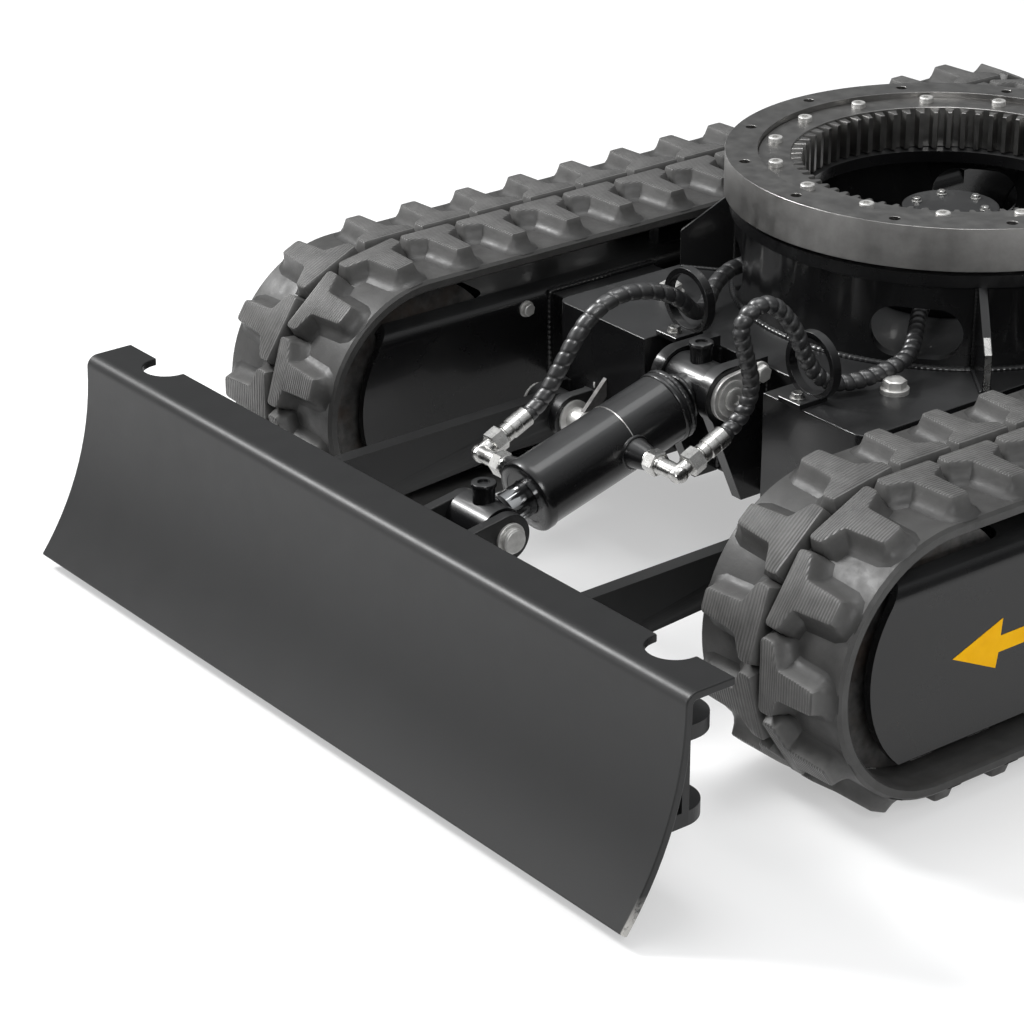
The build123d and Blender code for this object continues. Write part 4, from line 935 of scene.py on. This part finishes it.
WEB_Y = BEND_Y + 16        # back of the blade's stiffener
RIB_LOW_Z, RIB_HIGH_Z = 100, 164
beads = Batch()
for side in (1, -1):
    for x in (184, 200, 28, 40):
        weld(beads, ((side * x, WEB_Y + 2, RIB_HIGH_Z), (side * x, WEB_Y + 36, RIB_HIGH_Z)), 3.4)
        weld(beads, ((side * x, WEB_Y, RIB_HIGH_Z - 2), (side * x, WEB_Y, RIB_LOW_Z + 1)), 3.4)
for z in (RIB_LOW_Z, RIB_HIGH_Z):
    weld(beads, ((-450, WEB_Y, z), (450, WEB_Y, z)), 3.2)
beads.finish("blade_welds", "blade_paint", "blade", 60)

# Floor, light and camera
FLOOR_HALF = 14.0          # metres
FLOOR_GLOW = 0.46
SKY_LOW = 0.15
SKY_HIGH = 0.85
floor_mesh = bpy.data.meshes.new("floor")
floor_corners = [(x * FLOOR_HALF, y * FLOOR_HALF, 0) for x, y in ((-1, -1), (1, -1), (1, 1), (-1, 1))]
floor_mesh.from_pydata(floor_corners, [], [(0, 1, 2, 3)])
floor = bpy.data.objects.new("floor", floor_mesh)
bpy.context.scene.collection.objects.link(floor)
plain = Paint("floor", Roughness=0.9)
plain.colour(plain.ramp(plain.noise(1.2, 3), (0.2, 0.80), (0.8, 0.84)))
glow = plain.node("ShaderNodeEmission", Strength=1.0)
seen = plain.node("ShaderNodeLightPath").outputs
seen_share = plain.math("MAXIMUM", seen["Is Camera Ray"], seen["Is Glossy Ray"])
blend = plain.node("ShaderNodeMixShader", Fac=plain.math("MULTIPLY", seen_share, FLOOR_GLOW))
plain.feed(blend.inputs[1], plain.shader.outputs["BSDF"])
plain.feed(blend.inputs[2], glow.outputs["Emission"])
plain.feed(plain.tree.nodes["Material Output"].inputs["Surface"], blend.outputs["Shader"])
floor_mesh.materials.append(plain.material)

# The sky is dim near the horizon, so that flat tops stay black, and bright overhead
world = bpy.data.worlds.new("studio")
bpy.context.scene.world = world
world.use_nodes = True
sky = world.node_tree
direction = sky.nodes.new("ShaderNodeTexCoord").outputs["Generated"]
upward = sky.nodes.new("ShaderNodeSeparateXYZ")
sky.links.new(direction, upward.inputs["Vector"])
shade = sky.nodes.new("ShaderNodeValToRGB")
sky.links.new(upward.outputs["Z"], shade.inputs["Fac"])
for element, (position, level) in zip(shade.color_ramp.elements, ((0.30, SKY_LOW), (0.95, SKY_HIGH))):
    element.position = position
    element.color = (level * 0.97, level * 0.985, level, 1)
sky.links.new(shade.outputs["Color"], sky.nodes["Background"].inputs["Color"])


def area(name, place, target, size, power):
    """A rectangular light aimed at a place, in metres and watts."""
    light = bpy.data.lights.new(name, "AREA")
    light.shape = "RECTANGLE"
    light.size, light.size_y = size
    light.energy = power
    lamp = bpy.data.objects.new(name, light)
    lamp.location = place
    lamp.rotation_euler = (Vector(target) - Vector(place)).to_track_quat("-Z", "Y").to_euler()
    bpy.context.scene.collection.objects.link(lamp)


area("key", (-2.6, -1.9, 2.9), (0, -0.3, 0.2), (0.9, 0.9), 185)
area("top", (-0.2, -0.1, 3.6), (0, -0.1, 0.2), (1.4, 1.4), 45)
area("front", (-2.2, -4.2, 1.5), (0, -0.5, 0.1), (2.6, 0.9), 30)
area("side", (3.0, -1.9, 2.4), (0, -0.3, 0.2), (1.2, 1.2), 48)

# The camera stands where the photograph was solved to be taken from
CAMERA_PLACE = (2.2341, -2.2008, 1.4684)
CAMERA_YAW, CAMERA_PITCH, CAMERA_ROLL = 52.065, 24.80, -0.13
lens = bpy.data.cameras.new("camera")
lens.sensor_width = 36
lens.lens = 115.6
lens.clip_end = 60
camera = bpy.data.objects.new("camera", lens)
camera.matrix_world = (Matrix.Translation(CAMERA_PLACE)
                       @ Matrix.Rotation(math.radians(CAMERA_YAW), 4, "Z")
                       @ Matrix.Rotation(math.radians(90 - CAMERA_PITCH), 4, "X")
                       @ Matrix.Rotation(math.radians(CAMERA_ROLL), 4, "Z"))
bpy.context.scene.collection.objects.link(camera)
bpy.context.scene.camera = camera
bpy.context.scene.view_settings.view_transform = "Standard"

bpy.context.view_layer.update()
